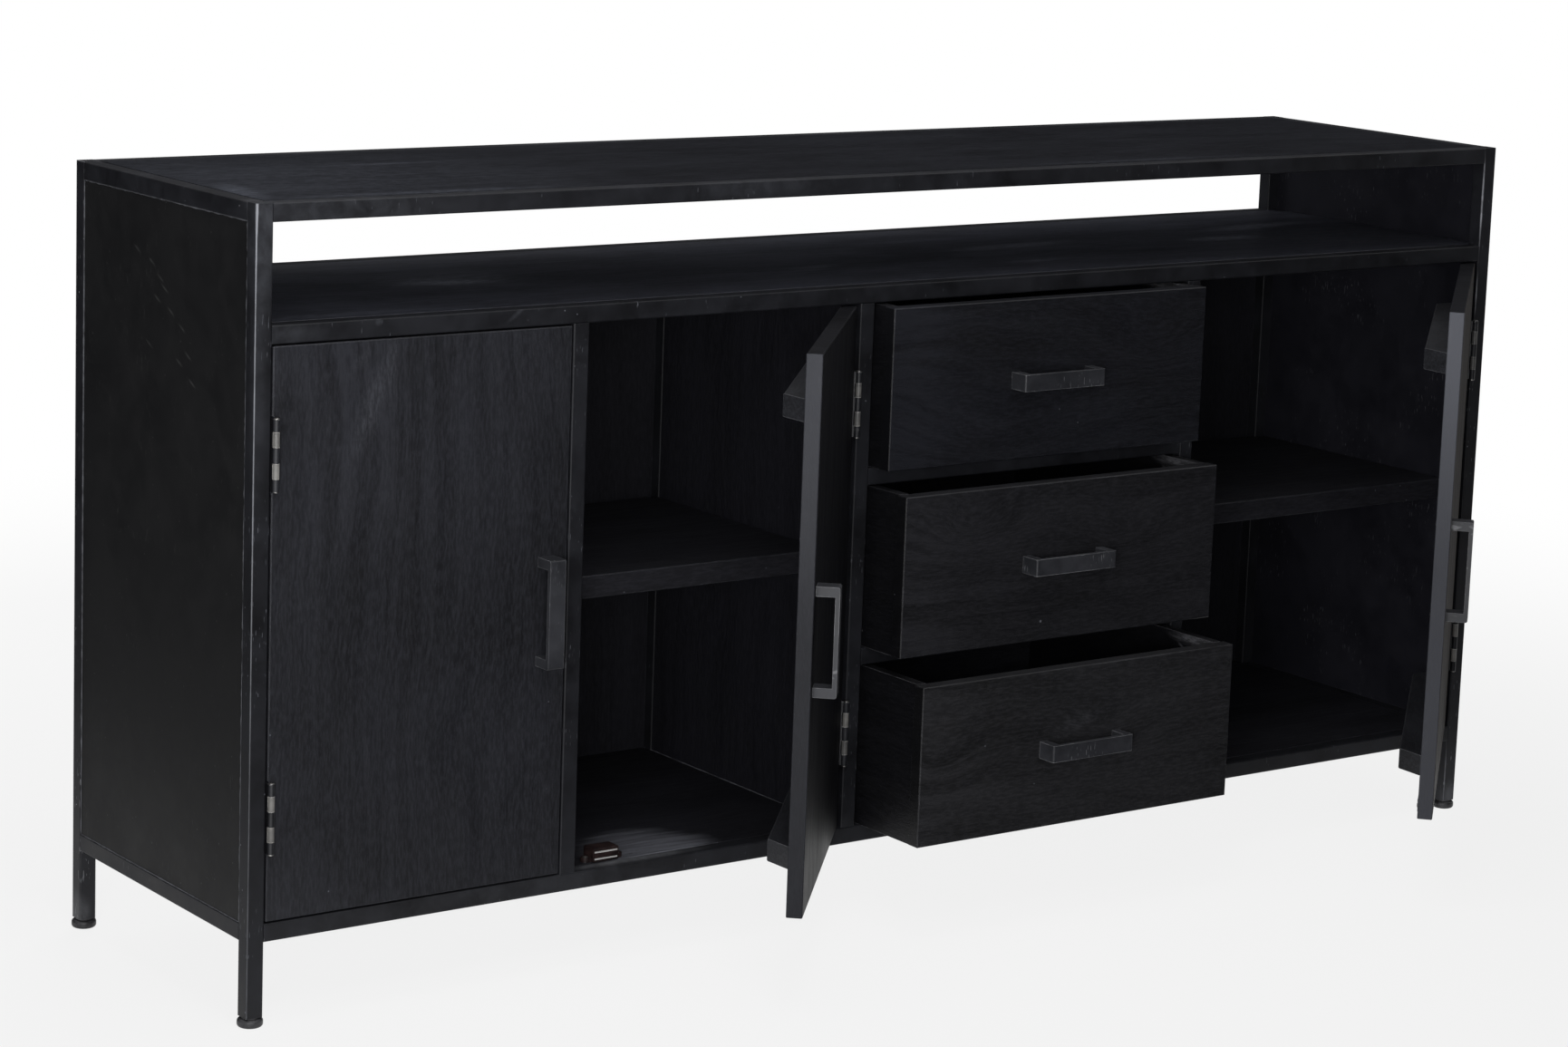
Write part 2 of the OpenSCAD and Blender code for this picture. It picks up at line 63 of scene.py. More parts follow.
def shade(red, green, blue):
    """A display colour, 0 to 255, as the linear colour that a shader takes."""
    def linear(value):
        value /= 255
        return value / 12.92 if value <= 0.04045 else ((value + 0.055) / 1.055) ** 2.4
    return (linear(red), linear(green), linear(blue), 1.0)


class Bench:
    """One node tree, with a short word for each kind of node that the finishes use."""

    def __init__(self, tree):
        self.tree = tree

    def node(self, kind, **settings):
        made = self.tree.nodes.new(kind)
        for key, value in settings.items():
            setattr(made, key, value)
        return made

    def put(self, socket, value):
        if isinstance(value, bpy.types.NodeSocket):
            self.tree.links.new(value, socket)
        elif value is not None:
            socket.default_value = value

    def feed(self, made, *values):
        """Gives a node its inputs in order, and hands back its first output."""
        for socket, value in zip(made.inputs, values):
            self.put(socket, value)
        return made.outputs[0]

    def fill(self, made, **values):
        """Gives a node its inputs by name, and hands back its outputs."""
        for name, value in values.items():
            self.put(made.inputs[name.replace("_", " ")], value)
        return made.outputs

    def math(self, operation, a, b=None, c=None, clamp=False):
        return self.feed(self.node("ShaderNodeMath", operation=operation, use_clamp=clamp), a, b, c)

    def vector(self, operation, a, b=None, scale=None):
        made = self.node("ShaderNodeVectorMath", operation=operation)
        self.put(made.inputs[0], a)
        self.put(made.inputs[1], b)
        if scale is not None:
            self.put(made.inputs["Scale"], scale)
        return made.outputs["Value" if operation in ("DOT_PRODUCT", "LENGTH") else "Vector"]

    def split(self, vector):
        made = self.node("ShaderNodeSeparateXYZ")
        self.feed(made, vector)
        return tuple(made.outputs)

    def join(self, x, y, z):
        return self.feed(self.node("ShaderNodeCombineXYZ"), x, y, z)

    def fit(self, value, low, high, to_low=0.0, to_high=1.0, soft=True):
        made = self.node("ShaderNodeMapRange", interpolation_type="SMOOTHSTEP" if soft else "LINEAR")
        return self.feed(made, value, low, high, to_low, to_high)

    def tint(self, factor, a, b):
        made = self.node("ShaderNodeMix", data_type="RGBA")
        self.put(made.inputs["Factor"], factor)
        colours = [s for s in made.inputs if s.type == "RGBA"]
        self.put(colours[0], a)
        self.put(colours[1], b)
        return [s for s in made.outputs if s.type == "RGBA"][0]

    def noise(self, vector, scale, detail=2.0, rough=0.5, twist=0.0):
        return self.fill(self.node("ShaderNodeTexNoise"), Vector=vector, Scale=scale, Detail=detail,
                         Roughness=rough, Distortion=twist)[0]

    def stretch(self, vector, x, y, z):
        return self.vector("MULTIPLY", vector, (x, y, z))

    def distance(self, vector, at, reach):
        """How far a place is from another, as a share of the reach along each axis."""
        away = self.vector("SUBTRACT", vector, at)
        return self.vector("LENGTH", self.vector("DIVIDE", away, reach))

    def beside(self, vector, at):
        """How far a place is from an upright line."""
        away = self.vector("SUBTRACT", vector, at)
        return self.vector("LENGTH", self.stretch(away, 1.0, 1.0, 0.0))

    def object_place(self):
        return self.node("ShaderNodeTexCoord").outputs["Object"]

    def group(self, effect, **values):
        return self.fill(self.node("ShaderNodeGroup", node_tree=effect), **values)

    def bump(self, height, distance):
        return self.fill(self.node("ShaderNodeBump"), Height=height, Distance=distance)[0]


def effect(name, inputs, outputs):
    """A new node group: its bench, its input sockets and a way to set its outputs."""
    tree = bpy.data.node_groups.new(name, "ShaderNodeTree")
    kinds = {float: "NodeSocketFloat", tuple: "NodeSocketVector"}
    for label, start in inputs.items():
        socket = tree.interface.new_socket(name=label, in_out="INPUT", socket_type=kinds[type(start)])
        socket.default_value = start
    for label in outputs:
        kind = kinds[tuple if label == "Vector" else float]
        tree.interface.new_socket(name=label, in_out="OUTPUT", socket_type=kind)
    bench = Bench(tree)
    source = bench.node("NodeGroupInput")
    sink = bench.node("NodeGroupOutput")

    def give(**values):
        bench.fill(sink, **values)

    return bench, source.outputs, give


# ---- Effects that the finishes share ----

def make_board_axes():
    """Turns a place on a piece into distances across, through and along its grain."""
    b, given, give = effect(
        "board axes", {"Across": X, "Through": Y, "Along": Z, "Start": ORIGIN}, ["Vector"])
    place = b.vector("SUBTRACT", b.object_place(), given["Start"])
    give(Vector=b.join(*[b.vector("DOT_PRODUCT", place, given[way])
                         for way in ("Across", "Through", "Along")]))
    return b.tree


def make_knot():
    """A swelling of the rings round one knot."""
    b, given, give = effect(
        "knot", {"Vector": ORIGIN, "At": ORIGIN, "Half Width": 0.03, "Half Length": 0.06, "Rise": 0.04},
        ["Swell"])
    x, _, z = b.split(b.vector("SUBTRACT", given["Vector"], given["At"]))
    x = b.math("DIVIDE", x, given["Half Width"])
    z = b.math("DIVIDE", z, given["Half Length"])
    reach = b.math("ADD", b.math("MULTIPLY", x, x), b.math("MULTIPLY", z, z))
    give(Swell=b.math("DIVIDE", given["Rise"], b.math("ADD", 1.0, reach)))
    return b.tree


# How fine each part of the wood's figure is, in steps per metre over the rings and along the grain
SMEAR_STEPS = (42.0, 2.6)
RING_STEPS = (210.0, 5.0)
STREAK_STEPS = (150.0, 8.0)
FLECK_STEPS = (360.0, 75.0)
WANDER_STEPS = (4.0, 1.8)
# How far the rings wander from side to side
WANDER = 0.10
# How much of the rings' wander the flecks follow
FLECK_LEAN = 0.3
# How far two boards' figures lie apart for each unit of seed
SEED_STEP = 3.7


def make_wood_figure():
    """The figure of a board: broad smears and streaks along the rings, and short pale flecks."""
    b, given, give = effect(
        "wood figure", {"Vector": ORIGIN, "Swell": 0.0, "Pith": 0.05, "Slope": 0.05, "Seed": 0.0},
        ["Smears", "Rings", "Streaks", "Flecks"])
    seed = given["Seed"]
    place = b.vector("ADD", given["Vector"], b.join(0.0, 0.0, b.math("MULTIPLY", seed, SEED_STEP)))
    sideways, lengthways = WANDER_STEPS
    wander = b.noise(b.stretch(place, sideways, sideways, lengthways), 1.0, 2.0)
    plain_x, y, z = b.split(given["Vector"])
    x = b.math("MULTIPLY_ADD", b.math("SUBTRACT", wander, 0.5), WANDER, plain_x)
    x = b.math("ADD", x, given["Swell"])
    deep = b.math("ADD", y, given["Pith"])
    radius = b.math("SQRT", b.math("ADD", b.math("MULTIPLY", x, x), b.math("MULTIPLY", deep, deep)))
    radius = b.math("MULTIPLY_ADD", z, given["Slope"], radius)

    def along_rings(over, steps):
        return b.join(b.math("MULTIPLY", over, steps[0]), b.math("MULTIPLY", z, steps[1]), seed)

    smears = b.fit(b.noise(along_rings(radius, SMEAR_STEPS), 1.0, 4.0, 0.6), 0.32, 0.68)
    rings = b.fit(b.noise(along_rings(radius, RING_STEPS), 1.0, 2.0), 0.45, 0.75)
    streaks = b.fit(b.noise(along_rings(x, STREAK_STEPS), 1.0, 3.0, 0.6), 0.3, 0.7)
    lean = b.math("MULTIPLY_ADD", b.math("SUBTRACT", x, plain_x), FLECK_LEAN, plain_x)
    sideways, lengthways = FLECK_STEPS
    short = b.join(b.math("MULTIPLY", lean, sideways), b.math("MULTIPLY", y, sideways),
                   b.math("MULTIPLY", z, lengthways))
    flecks = b.fit(b.noise(short, 1.0, 4.0, 0.7), 0.42, 0.63)
    give(Smears=smears, Rings=rings, Streaks=streaks, Flecks=flecks)
    return b.tree


def make_stroke():
    """One long soft mark, strongest in its middle."""
    b, given, give = effect(
        "stroke", {"Vector": ORIGIN, "At": ORIGIN, "Way": Z, "Half Length": 0.05, "Half Width": 0.01},
        ["Stroke"])
    away = b.vector("SUBTRACT", given["Vector"], given["At"])
    along = b.vector("DOT_PRODUCT", away, given["Way"])
    whole = b.vector("LENGTH", away)
    aside = b.math("SUBTRACT", b.math("MULTIPLY", whole, whole), b.math("MULTIPLY", along, along))
    reach = b.join(b.math("DIVIDE", along, given["Half Length"]),
                   b.math("DIVIDE", b.math("SQRT", aside), given["Half Width"]), 0.0)
    give(Stroke=b.fit(b.vector("LENGTH", reach), 0.15, 1.0, 1.0, 0.0))
    return b.tree


def make_patches():
    """Cloudy places where the finish lies thicker or thinner."""
    b, given, give = effect(
        "patches", {"Vector": ORIGIN, "Size": 0.12, "Seed": 0.0}, ["Patches"])
    place = b.vector("SCALE", given["Vector"], scale=b.math("DIVIDE", 1.0, given["Size"]))
    place = b.vector("ADD", place, b.join(given["Seed"], 0.0, given["Seed"]))
    give(Patches=b.fit(b.noise(place, 1.0, 4.0, 0.6, 0.3), 0.3, 0.7))
    return b.tree


# How much an edge bends the surface where its line starts and where it is full
EDGE_BENDS = (0.02, 0.16)
# Where the rub starts with no share, how far a full share brings that down, and how soft its rim is
RUB_START, RUB_RANGE, RUB_SOFT = 0.72, 0.44, 0.07
COARSE_PER_M = 7.0


def make_edge_wear_and_highlight():
    """Masks of an edge: a thin unbroken line, partly wear and partly painted highlight where the edge
    catches the lamp, and the broken rub of wear beside it.
    """
    b, given, give = effect(
        "edge wear and highlight", {"Width": 0.0015, "Share": 0.5, "Grit": 90.0, "Seed": 0.0}, ["Line", "Rub"])
    turned = b.fill(b.node("ShaderNodeBevel", samples=6), Radius=given["Width"])[0]
    straight = b.node("ShaderNodeNewGeometry").outputs["Normal"]
    bend = b.math("SUBTRACT", 1.0, b.vector("DOT_PRODUCT", turned, straight))
    line = b.fit(bend, *EDGE_BENDS)
    place = b.vector("ADD", b.object_place(), b.join(given["Seed"], given["Seed"], 0.0))
    coarse = b.noise(place, COARSE_PER_M, 3.0, 0.6)
    grit = b.noise(place, given["Grit"], 3.0, 0.7)
    level = b.math("MULTIPLY_ADD", grit, 0.45, b.math("MULTIPLY", coarse, 0.55))
    low = b.math("SUBTRACT", RUB_START, b.math("MULTIPLY", given["Share"], RUB_RANGE))
    give(Line=line, Rub=b.math("MULTIPLY", line, b.fit(level, low, b.math("ADD", low, RUB_SOFT))))
    return b.tree


SPECKS_PER_M = 55.0
HAIR_STEPS = (700.0, 22.0, 90.0)
HAIR_PATCHES_PER_M = 14.0


def make_fine_marks():
    """Small pale specks and hair scratches."""
    b, given, give = effect(
        "fine marks", {"Vector": ORIGIN, "Specks": 0.3, "Scratches": 0.3, "Seed": 0.0},
        ["Specks", "Scratches"])
    place = b.vector("ADD", given["Vector"], b.join(given["Seed"], 0.0, given["Seed"]))
    cell = b.fill(b.node("ShaderNodeTexVoronoi"), Vector=place, Scale=SPECKS_PER_M)
    near = b.fit(cell["Distance"], 0.03, 0.07, 1.0, 0.0)
    lot = b.split(cell["Color"])[0]
    picked = b.math("LESS_THAN", lot, b.math("MULTIPLY", given["Specks"], 0.2))
    x, y, z = b.split(place)
    leaning = b.join(b.math("ADD", x, y), b.math("SUBTRACT", z, b.math("MULTIPLY", x, 0.5)), z)
    hair = b.noise(b.stretch(leaning, *HAIR_STEPS), 1.0, 1.0)
    patch = b.noise(place, HAIR_PATCHES_PER_M, 2.0)
    low = b.math("SUBTRACT", 0.74, b.math("MULTIPLY", given["Scratches"], 0.1))
    hair = b.fit(hair, low, b.math("ADD", low, 0.05))
    give(Specks=b.math("MULTIPLY", near, picked),
         Scratches=b.math("MULTIPLY", hair, b.fit(patch, 0.5, 0.62)))
    return b.tree


def make_paint_skin():
    """The fine pebbled skin of sprayed paint."""
    b, given, give = effect("paint skin", {"Vector": ORIGIN, "Size": 0.0018}, ["Height"])
    place = b.vector("SCALE", given["Vector"], scale=b.math("DIVIDE", 1.0, given["Size"]))
    give(Height=b.noise(place, 1.0, 2.0))
    return b.tree


BOARD_AXES = make_board_axes()
KNOT = make_knot()
WOOD_FIGURE = make_wood_figure()
STROKE = make_stroke()
PATCHES = make_patches()
EDGE_WEAR_AND_HIGHLIGHT = make_edge_wear_and_highlight()
FINE_MARKS = make_fine_marks()
PAINT_SKIN = make_paint_skin()


# ---- Finishes ----

# The pale colour of each finish is both its wear and its painted highlights.
STEEL_DARK, STEEL_LIGHT, STEEL_WEAR_AND_SHEEN = (17, 17, 20), (36, 37, 42), (120, 122, 130)
WOOD_DARK, WOOD_LIGHT, WOOD_WEAR_AND_SHEEN = (15, 15, 18), (44, 44, 50), (110, 112, 120)
PLASTIC_WORN = (120, 120, 122)
CORNER_BRIGHT = (175, 178, 186)

# How wide the clouds in each finish are
PAINT_CLOUD, SMALL_CLOUD, STAIN_CLOUD = 90 * MM, 20 * MM, 100 * MM
METAL_CLOUD, PLASTIC_CLOUD = 6 * MM, 12 * MM
# How deep the fine skin of each finish is
PAINT_DEPTH, WOOD_DEPTH, METAL_DEPTH, PLASTIC_DEPTH = 0.04 * MM, 0.06 * MM, 0.02 * MM, 0.03 * MM
PLASTIC_GRAIN = 0.8 * MM
BRUSHED_STEPS = (400.0, 400.0, 2600.0)

# A bare corner's ragged strip: the heights between which it widens, and its least and greatest width
CORNER_HEIGHTS = (0.80, 0.88)
CORNER_WIDTHS = (0.7 * MM, 2.6 * MM)
CORNER_RAGS_PER_M = 70.0
CORNER_RIM = (0.3 * MM, 1.0 * MM)
# The heights between which it grows clearer, and how clear it is at each
CLEAR_HEIGHTS = (0.2, 0.8)
CLEARNESS = (0.2, 0.8)
# How much each part of a board's figure, and then its clouds, lighten the stain
FIGURE_SHARES = {"Smears": 0.2, "Rings": 0.12, "Streaks": 0.1, "Flecks": 0.42}
STAIN_CLOUD_SHARE = 0.36
# A pale patch, partly a scuff and partly a painted reflection: how ragged its rim is, and how much is
# added for streaks, scratches and clouds
SCUFF_RAGGED, SCUFF_BASE = 0.35, 0.2
SCUFF_STREAKS, SCUFF_SCRATCHES, SCUFF_CLOUDS = 0.7, -1.4, 0.35
# How much of a stroke comes and goes with the paint's small clouds or the wood's flecks
PAINT_BROKEN, WOOD_BROKEN = 0.6, 0.7
# How much the small clouds of paint count beside the wide ones
SMALL_CLOUD_SHARE = 0.35
# How much the clouds roughen the paint, and how much a rub smooths it
CLOUD_ROUGHNESS, RUB_SMOOTHNESS = 0.14, 0.12
# How much the streaks roughen the wood, and how much the clouds of wax smooth it
STREAK_ROUGHNESS, WAX_SMOOTHNESS = 0.08, 0.08
# A band on a face or an end gives way towards the foot between these distances along the grain; on the
# doors' free edges it keeps the painted sheen faint low down
FOOT_FADE = (0.28, 0.6)


def new_finish(name):
    """A new material, its bench and its main shader."""
    finish = bpy.data.materials.new(name)
    finish.use_nodes = True
    b = Bench(finish.node_tree)
    shader = next(n for n in finish.node_tree.nodes if n.type == "BSDF_PRINCIPLED")
    return finish, b, shader


def draw_strokes(b, colour, place, strokes, texture, share, wear_and_sheen):
    """Lays pale strokes over a colour. A share of each one comes and goes with the texture under it."""
    broken = b.math("MULTIPLY_ADD", texture, share, 1.0 - share)
    for stroke in strokes:
        mask = b.group(STROKE, Vector=place, At=stroke.at, Way=stroke.way, Half_Length=stroke.half_length,
                       Half_Width=stroke.half_width)["Stroke"]
        mask = b.math("MULTIPLY", mask, broken)
        colour = b.tint(b.math("MULTIPLY", mask, stroke.strength, clamp=True), colour, shade(*wear_and_sheen))
    return colour


def bare_corner(b, place, corner):
    """A mask of an upright corner that has lost its paint: a ragged strip, wider towards the top."""
    height = b.split(place)[2]
    ragged = b.math("MULTIPLY", b.noise(b.stretch(place, 1.0, 1.0, 0.4), CORNER_RAGS_PER_M, 3.0, 0.7),
                    b.fit(height, *CORNER_HEIGHTS, *CORNER_WIDTHS))
    away = b.math("SUBTRACT", b.beside(place, corner), ragged)
    near = b.fit(away, *CORNER_RIM, 1.0, 0.0)
    return b.math("MULTIPLY", near, b.fit(height, *CLEAR_HEIGHTS, *CLEARNESS))


def painted_steel(name, dark=STEEL_DARK, light=STEEL_LIGHT, wear_and_sheen=STEEL_WEAR_AND_SHEEN, share=0.35, gloss=0.46,
                  level=0.3, rub_width=1.2 * MM, line=0.1, specks=0.25, scratches=0.2, corner=None,
                  strokes=(), pins=(), barrel=0.0, seed=0.0):
    """Black satin paint on steel, cloudy, and rubbed through to grey along the edges."""
    finish, b, shader = new_finish(name)
    place = b.object_place()
    patches = b.group(PATCHES, Vector=place, Size=PAINT_CLOUD, Seed=seed)["Patches"]
    small_patches = b.group(PATCHES, Vector=place, Size=SMALL_CLOUD, Seed=seed + 4)["Patches"]
    wide_part = b.math("MULTIPLY", patches, 1.0 - SMALL_CLOUD_SHARE)
    cloud = b.math("MULTIPLY_ADD", small_patches, SMALL_CLOUD_SHARE, wide_part)
    edge = b.group(EDGE_WEAR_AND_HIGHLIGHT, Width=rub_width, Share=share, Seed=seed)
    marks = b.group(FINE_MARKS, Vector=place, Specks=specks, Scratches=scratches, Seed=seed)
    colour = b.tint(cloud, shade(*dark), shade(*light))
    # The unbroken line along every edge is partly wear and partly painted highlight, where the edge
    # catches the lamp.
    colour = b.tint(b.math("MULTIPLY", edge["Line"], line), colour, shade(*wear_and_sheen))
    colour = b.tint(edge["Rub"], colour, shade(*wear_and_sheen))
    colour = draw_strokes(b, colour, place, strokes, small_patches, PAINT_BROKEN, wear_and_sheen)
    if corner:
        colour = b.tint(bare_corner(b, place, corner), colour, shade(*CORNER_BRIGHT))
    if pins:
        away = 1.0
        for pin in pins:
            away = b.math("MINIMUM", away, b.beside(place, pin))
        colour = b.tint(b.fit(away, barrel, barrel + 0.3 * MM), colour, shade(*STEEL_DARK))
    marked = b.math("MAXIMUM", marks["Specks"], b.math("MULTIPLY", marks["Scratches"], 0.6))
    colour = b.tint(b.math("MULTIPLY", marked, 0.7), colour, shade(*wear_and_sheen))
    rough = b.math("MULTIPLY_ADD", cloud, CLOUD_ROUGHNESS, gloss)
    rough = b.math("SUBTRACT", rough, b.math("MULTIPLY", edge["Rub"], RUB_SMOOTHNESS))
    skin = b.group(PAINT_SKIN, Vector=place)["Height"]
    height = b.math("MULTIPLY_ADD", edge["Rub"], -0.5, skin)
    b.fill(shader, Base_Color=colour, Roughness=rough, Specular_IOR_Level=level,
           Normal=b.bump(height, PAINT_DEPTH))
    return finish


def stained_wood(name, axes, start, dark=WOOD_DARK, light=WOOD_LIGHT, wear_and_sheen=WOOD_WEAR_AND_SHEEN, knots=(),
                 pith=50 * MM, slope=0.05, share=0.4, line=0.2, rub_width=0.8 * MM, gloss=0.5, level=0.3,
                 haze_and_sheen=None, strokes=(), ends=(), scuff_and_reflection=None, specks=0.2, seed=0.0):
    """Boards stained black under a thin wax: smears, streaks, short flecks and rubbed edges."""
    finish, b, shader = new_finish(name)
    across, through, along = axes
    place = b.group(BOARD_AXES, Across=across, Through=through, Along=along, Start=start)["Vector"]
    swell = 0.0
    for knot in knots:
        bulge = b.group(KNOT, Vector=place, At=knot.at, Half_Width=knot.half_width,
                        Half_Length=knot.half_length, Rise=knot.rise)["Swell"]
        swell = b.math("ADD", swell, bulge)
    grain = b.group(WOOD_FIGURE, Vector=place, Swell=swell, Pith=pith, Slope=slope, Seed=seed)
    long_place = b.stretch(place, 1.0, 1.0, 0.45)
    patches = b.group(PATCHES, Vector=long_place, Size=STAIN_CLOUD, Seed=seed)["Patches"]
    edge = b.group(EDGE_WEAR_AND_HIGHLIGHT, Width=rub_width, Share=share, Seed=seed)
    marks = b.group(FINE_MARKS, Vector=place, Specks=specks, Scratches=1.0 if scuff_and_reflection else 0.1, Seed=seed)

    tone = 0.0
    for part, part_share in FIGURE_SHARES.items():
        tone = b.math("MULTIPLY_ADD", grain[part], part_share, tone)
    tone = b.math("MULTIPLY_ADD", patches, STAIN_CLOUD_SHARE, tone, clamp=True)
    # A lighter place over the smears: partly a haze in the wax, partly painted sheen where the lamp falls.
    if haze_and_sheen:
        fog = b.fit(b.distance(place, haze_and_sheen.at, haze_and_sheen.reach), 0.2, 1.0, 1.0, 0.0)
        tone = b.math("MULTIPLY_ADD", b.math("MULTIPLY", fog, grain["Smears"]), haze_and_sheen.strength, tone)
    colour = b.tint(tone, shade(*dark), shade(*light))
    colour = draw_strokes(b, colour, place, strokes, grain["Flecks"], WOOD_BROKEN, wear_and_sheen)
    # Bands painted over a face or an end; on the doors these are painted light: a warm reflection and a
    # sheen.
    for band in ends:
        reached = b.fit(b.split(place)[band.axis], band.inner, band.outer, 0.0, band.strength)
        foot = b.fit(b.split(place)[ALONG], *FOOT_FADE, band.foot_share, 1.0)
        colour = b.tint(b.math("MULTIPLY", reached, foot), colour, shade(*band.stain))
    # A pale patch, partly a scuff and partly a painted reflection.
    if scuff_and_reflection:
        away = b.distance(place, scuff_and_reflection.at, scuff_and_reflection.reach)
        away = b.math("MULTIPLY_ADD", b.math("SUBTRACT", grain["Smears"], 0.5), SCUFF_RAGGED, away)
        scraped = b.math("MULTIPLY_ADD", grain["Streaks"], SCUFF_STREAKS, SCUFF_BASE)
        scraped = b.math("MULTIPLY_ADD", marks["Scratches"], SCUFF_SCRATCHES, scraped)
        scraped = b.math("MULTIPLY_ADD", patches, SCUFF_CLOUDS, scraped)
        near = b.fit(away, 0.5, 1.0, scuff_and_reflection.strength, 0.0)
        colour = b.tint(b.math("MULTIPLY", near, scraped, clamp=True), colour, shade(*wear_and_sheen))
    # The unbroken line along every edge is partly wear and partly painted highlight, where the edge
    # catches the lamp.
    colour = b.tint(b.math("MULTIPLY", edge["Line"], line), colour, shade(*wear_and_sheen))
    colour = b.tint(b.math("MULTIPLY", edge["Rub"], 0.8), colour, shade(*wear_and_sheen))
    colour = b.tint(b.math("MULTIPLY", marks["Specks"], 0.6), colour, shade(*wear_and_sheen))
    rough = b.math("MULTIPLY_ADD", grain["Streaks"], STREAK_ROUGHNESS, gloss)
    rough = b.math("MULTIPLY_ADD", patches, -WAX_SMOOTHNESS, rough)
    b.fill(shader, Base_Color=colour, Roughness=rough, Specular_IOR_Level=level,
           Normal=b.bump(grain["Flecks"], WOOD_DEPTH))
    return finish


def bare_metal(name, dark, light, rough=0.3, seed=0.0):
    """Steel that moving parts keep bright, brushed and slightly stained."""
    finish, b, shader = new_finish(name)
    place = b.object_place()
    patches = b.group(PATCHES, Vector=place, Size=METAL_CLOUD, Seed=seed)["Patches"]
    brushed = b.noise(b.stretch(place, *BRUSHED_STEPS), 1.0, 2.0)
    marks = b.group(FINE_MARKS, Vector=b.stretch(place, 3.0, 3.0, 3.0), Specks=0.4, Scratches=0.6,
                    Seed=seed)
    colour = b.tint(patches, shade(*dark), shade(*light))
    colour = b.tint(b.math("MULTIPLY", marks["Scratches"], 0.5), colour, shade(*light))
    b.fill(shader, Base_Color=colour, Metallic=1.0, Normal=b.bump(brushed, METAL_DEPTH),
           Roughness=b.math("MULTIPLY_ADD", brushed, 0.16, rough))
    return finish


def moulded_plastic(name, dark, light, rough=0.42, level=0.3, seed=0.0):
    """Moulded plastic with a fine texture and rubbed rims."""
    finish, b, shader = new_finish(name)
    place = b.object_place()
    patches = b.group(PATCHES, Vector=place, Size=PLASTIC_CLOUD, Seed=seed)["Patches"]
    edge = b.group(EDGE_WEAR_AND_HIGHLIGHT, Width=1.2 * MM, Share=0.45, Seed=seed)
    marks = b.group(FINE_MARKS, Vector=b.stretch(place, 2.0, 2.0, 2.0), Specks=0.9, Scratches=0.4,
                    Seed=seed)
    colour = b.tint(patches, shade(*dark), shade(*light))
    rubbed = b.math("MAXIMUM", b.math("MULTIPLY", edge["Rub"], 0.5), marks["Specks"])
    colour = b.tint(b.math("MULTIPLY", rubbed, 0.5), colour, shade(*PLASTIC_WORN))
    grain = b.group(PAINT_SKIN, Vector=place, Size=PLASTIC_GRAIN)["Height"]
    b.fill(shader, Base_Color=colour, Specular_IOR_Level=level, Normal=b.bump(grain, PLASTIC_DEPTH),
           Roughness=b.math("MULTIPLY_ADD", patches, 0.12, rough))
    return finish


# ---- The finish of each steel piece of the frame ----

def dress(finish, *names):
    """Gives the named pieces one finish all over."""
    for name in names:
        slots = NODES[name].data.materials
        if not len(slots):
            slots.append(finish)
        for i in range(len(slots)):
            slots[i] = finish


corner_low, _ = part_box("post_front_left")
front_left = Vector((corner_low.x, corner_low.y, 0.0))


def on_frame(x, y, z):
    """A place counted from the frame's front left corner at the floor."""
    return tuple(front_left + Vector((x, y, z)))


def on_front(x, z):
    """A place on the front plane, x from the left end and z from the floor."""
    return on_frame(x, 0.0, z)


dress(painted_steel("frame paint", specks=0.5, scratches=0.5),
      "top_rail_back", "top_rail_right", "bottom_rail_back", "bottom_rail_left", "bottom_rail_right",
      "deck_rail_back", "front_stiles", "drawer_rails")
dress(painted_steel("inner post paint", share=0.6, line=0.22, seed=3.3), "back_stiles", "post_back_right")
# The two strokes high on this post lighten it towards the top: partly a haze at its joint, partly painted
# light from the lamp at the left.
dress(painted_steel(
    "front left post paint", (12, 12, 15), (30, 31, 36), (130, 133, 142), share=0.4,
    scratches=0.7, specks=0.8, corner=tuple(corner_low), seed=2.9,
    strokes=[Stroke(on_front(0.008, 0.88), Z, 0.16, 0.03, 0.2),
             Stroke(on_front(0.004, 0.70), Z, 0.20, 0.015, 0.08)]
), "post_front_left")

# The right post is scraped to bright metal along its left corner
RIGHT_SCRAPE = 1.7805
dress(painted_steel(
    "front right post paint", wear_and_sheen=(190, 192, 200), share=0.35, scratches=0.5,
    specks=0.6, seed=3.7,
    strokes=[Stroke(on_front(RIGHT_SCRAPE, 0.810), Z, 0.075, 0.0022, 1.0),
             Stroke(on_front(RIGHT_SCRAPE, 0.690), Z, 0.035, 0.0018, 0.8),
             Stroke(on_front(1.790, 0.015), Z, 0.03, 0.016, 0.22),
             Stroke(on_front(RIGHT_SCRAPE, 0.045), Z, 0.05, 0.0015, 0.5)]
), "post_front_right")
dress(painted_steel(
    "back left post paint", wear_and_sheen=(190, 192, 198), share=0.6, scratches=0.7,
    rub_width=1.6 * MM, specks=0.8, seed=2.3,
    strokes=[Stroke(on_frame(0.0, 0.41, 0.02), Z, 0.03, 0.02, 0.35)]
), "post_back_left")
dress(painted_steel(
    "left rail paint", wear_and_sheen=(170, 172, 180), share=0.4, seed=5.1,
    strokes=[Stroke(on_front(0.012, 0.88), Y, 0.05, 0.02, 0.25),
             Stroke(on_frame(0.025, 0.332, 0.88), Y, 0.012, 0.006, 0.9)]
), "top_rail_left")
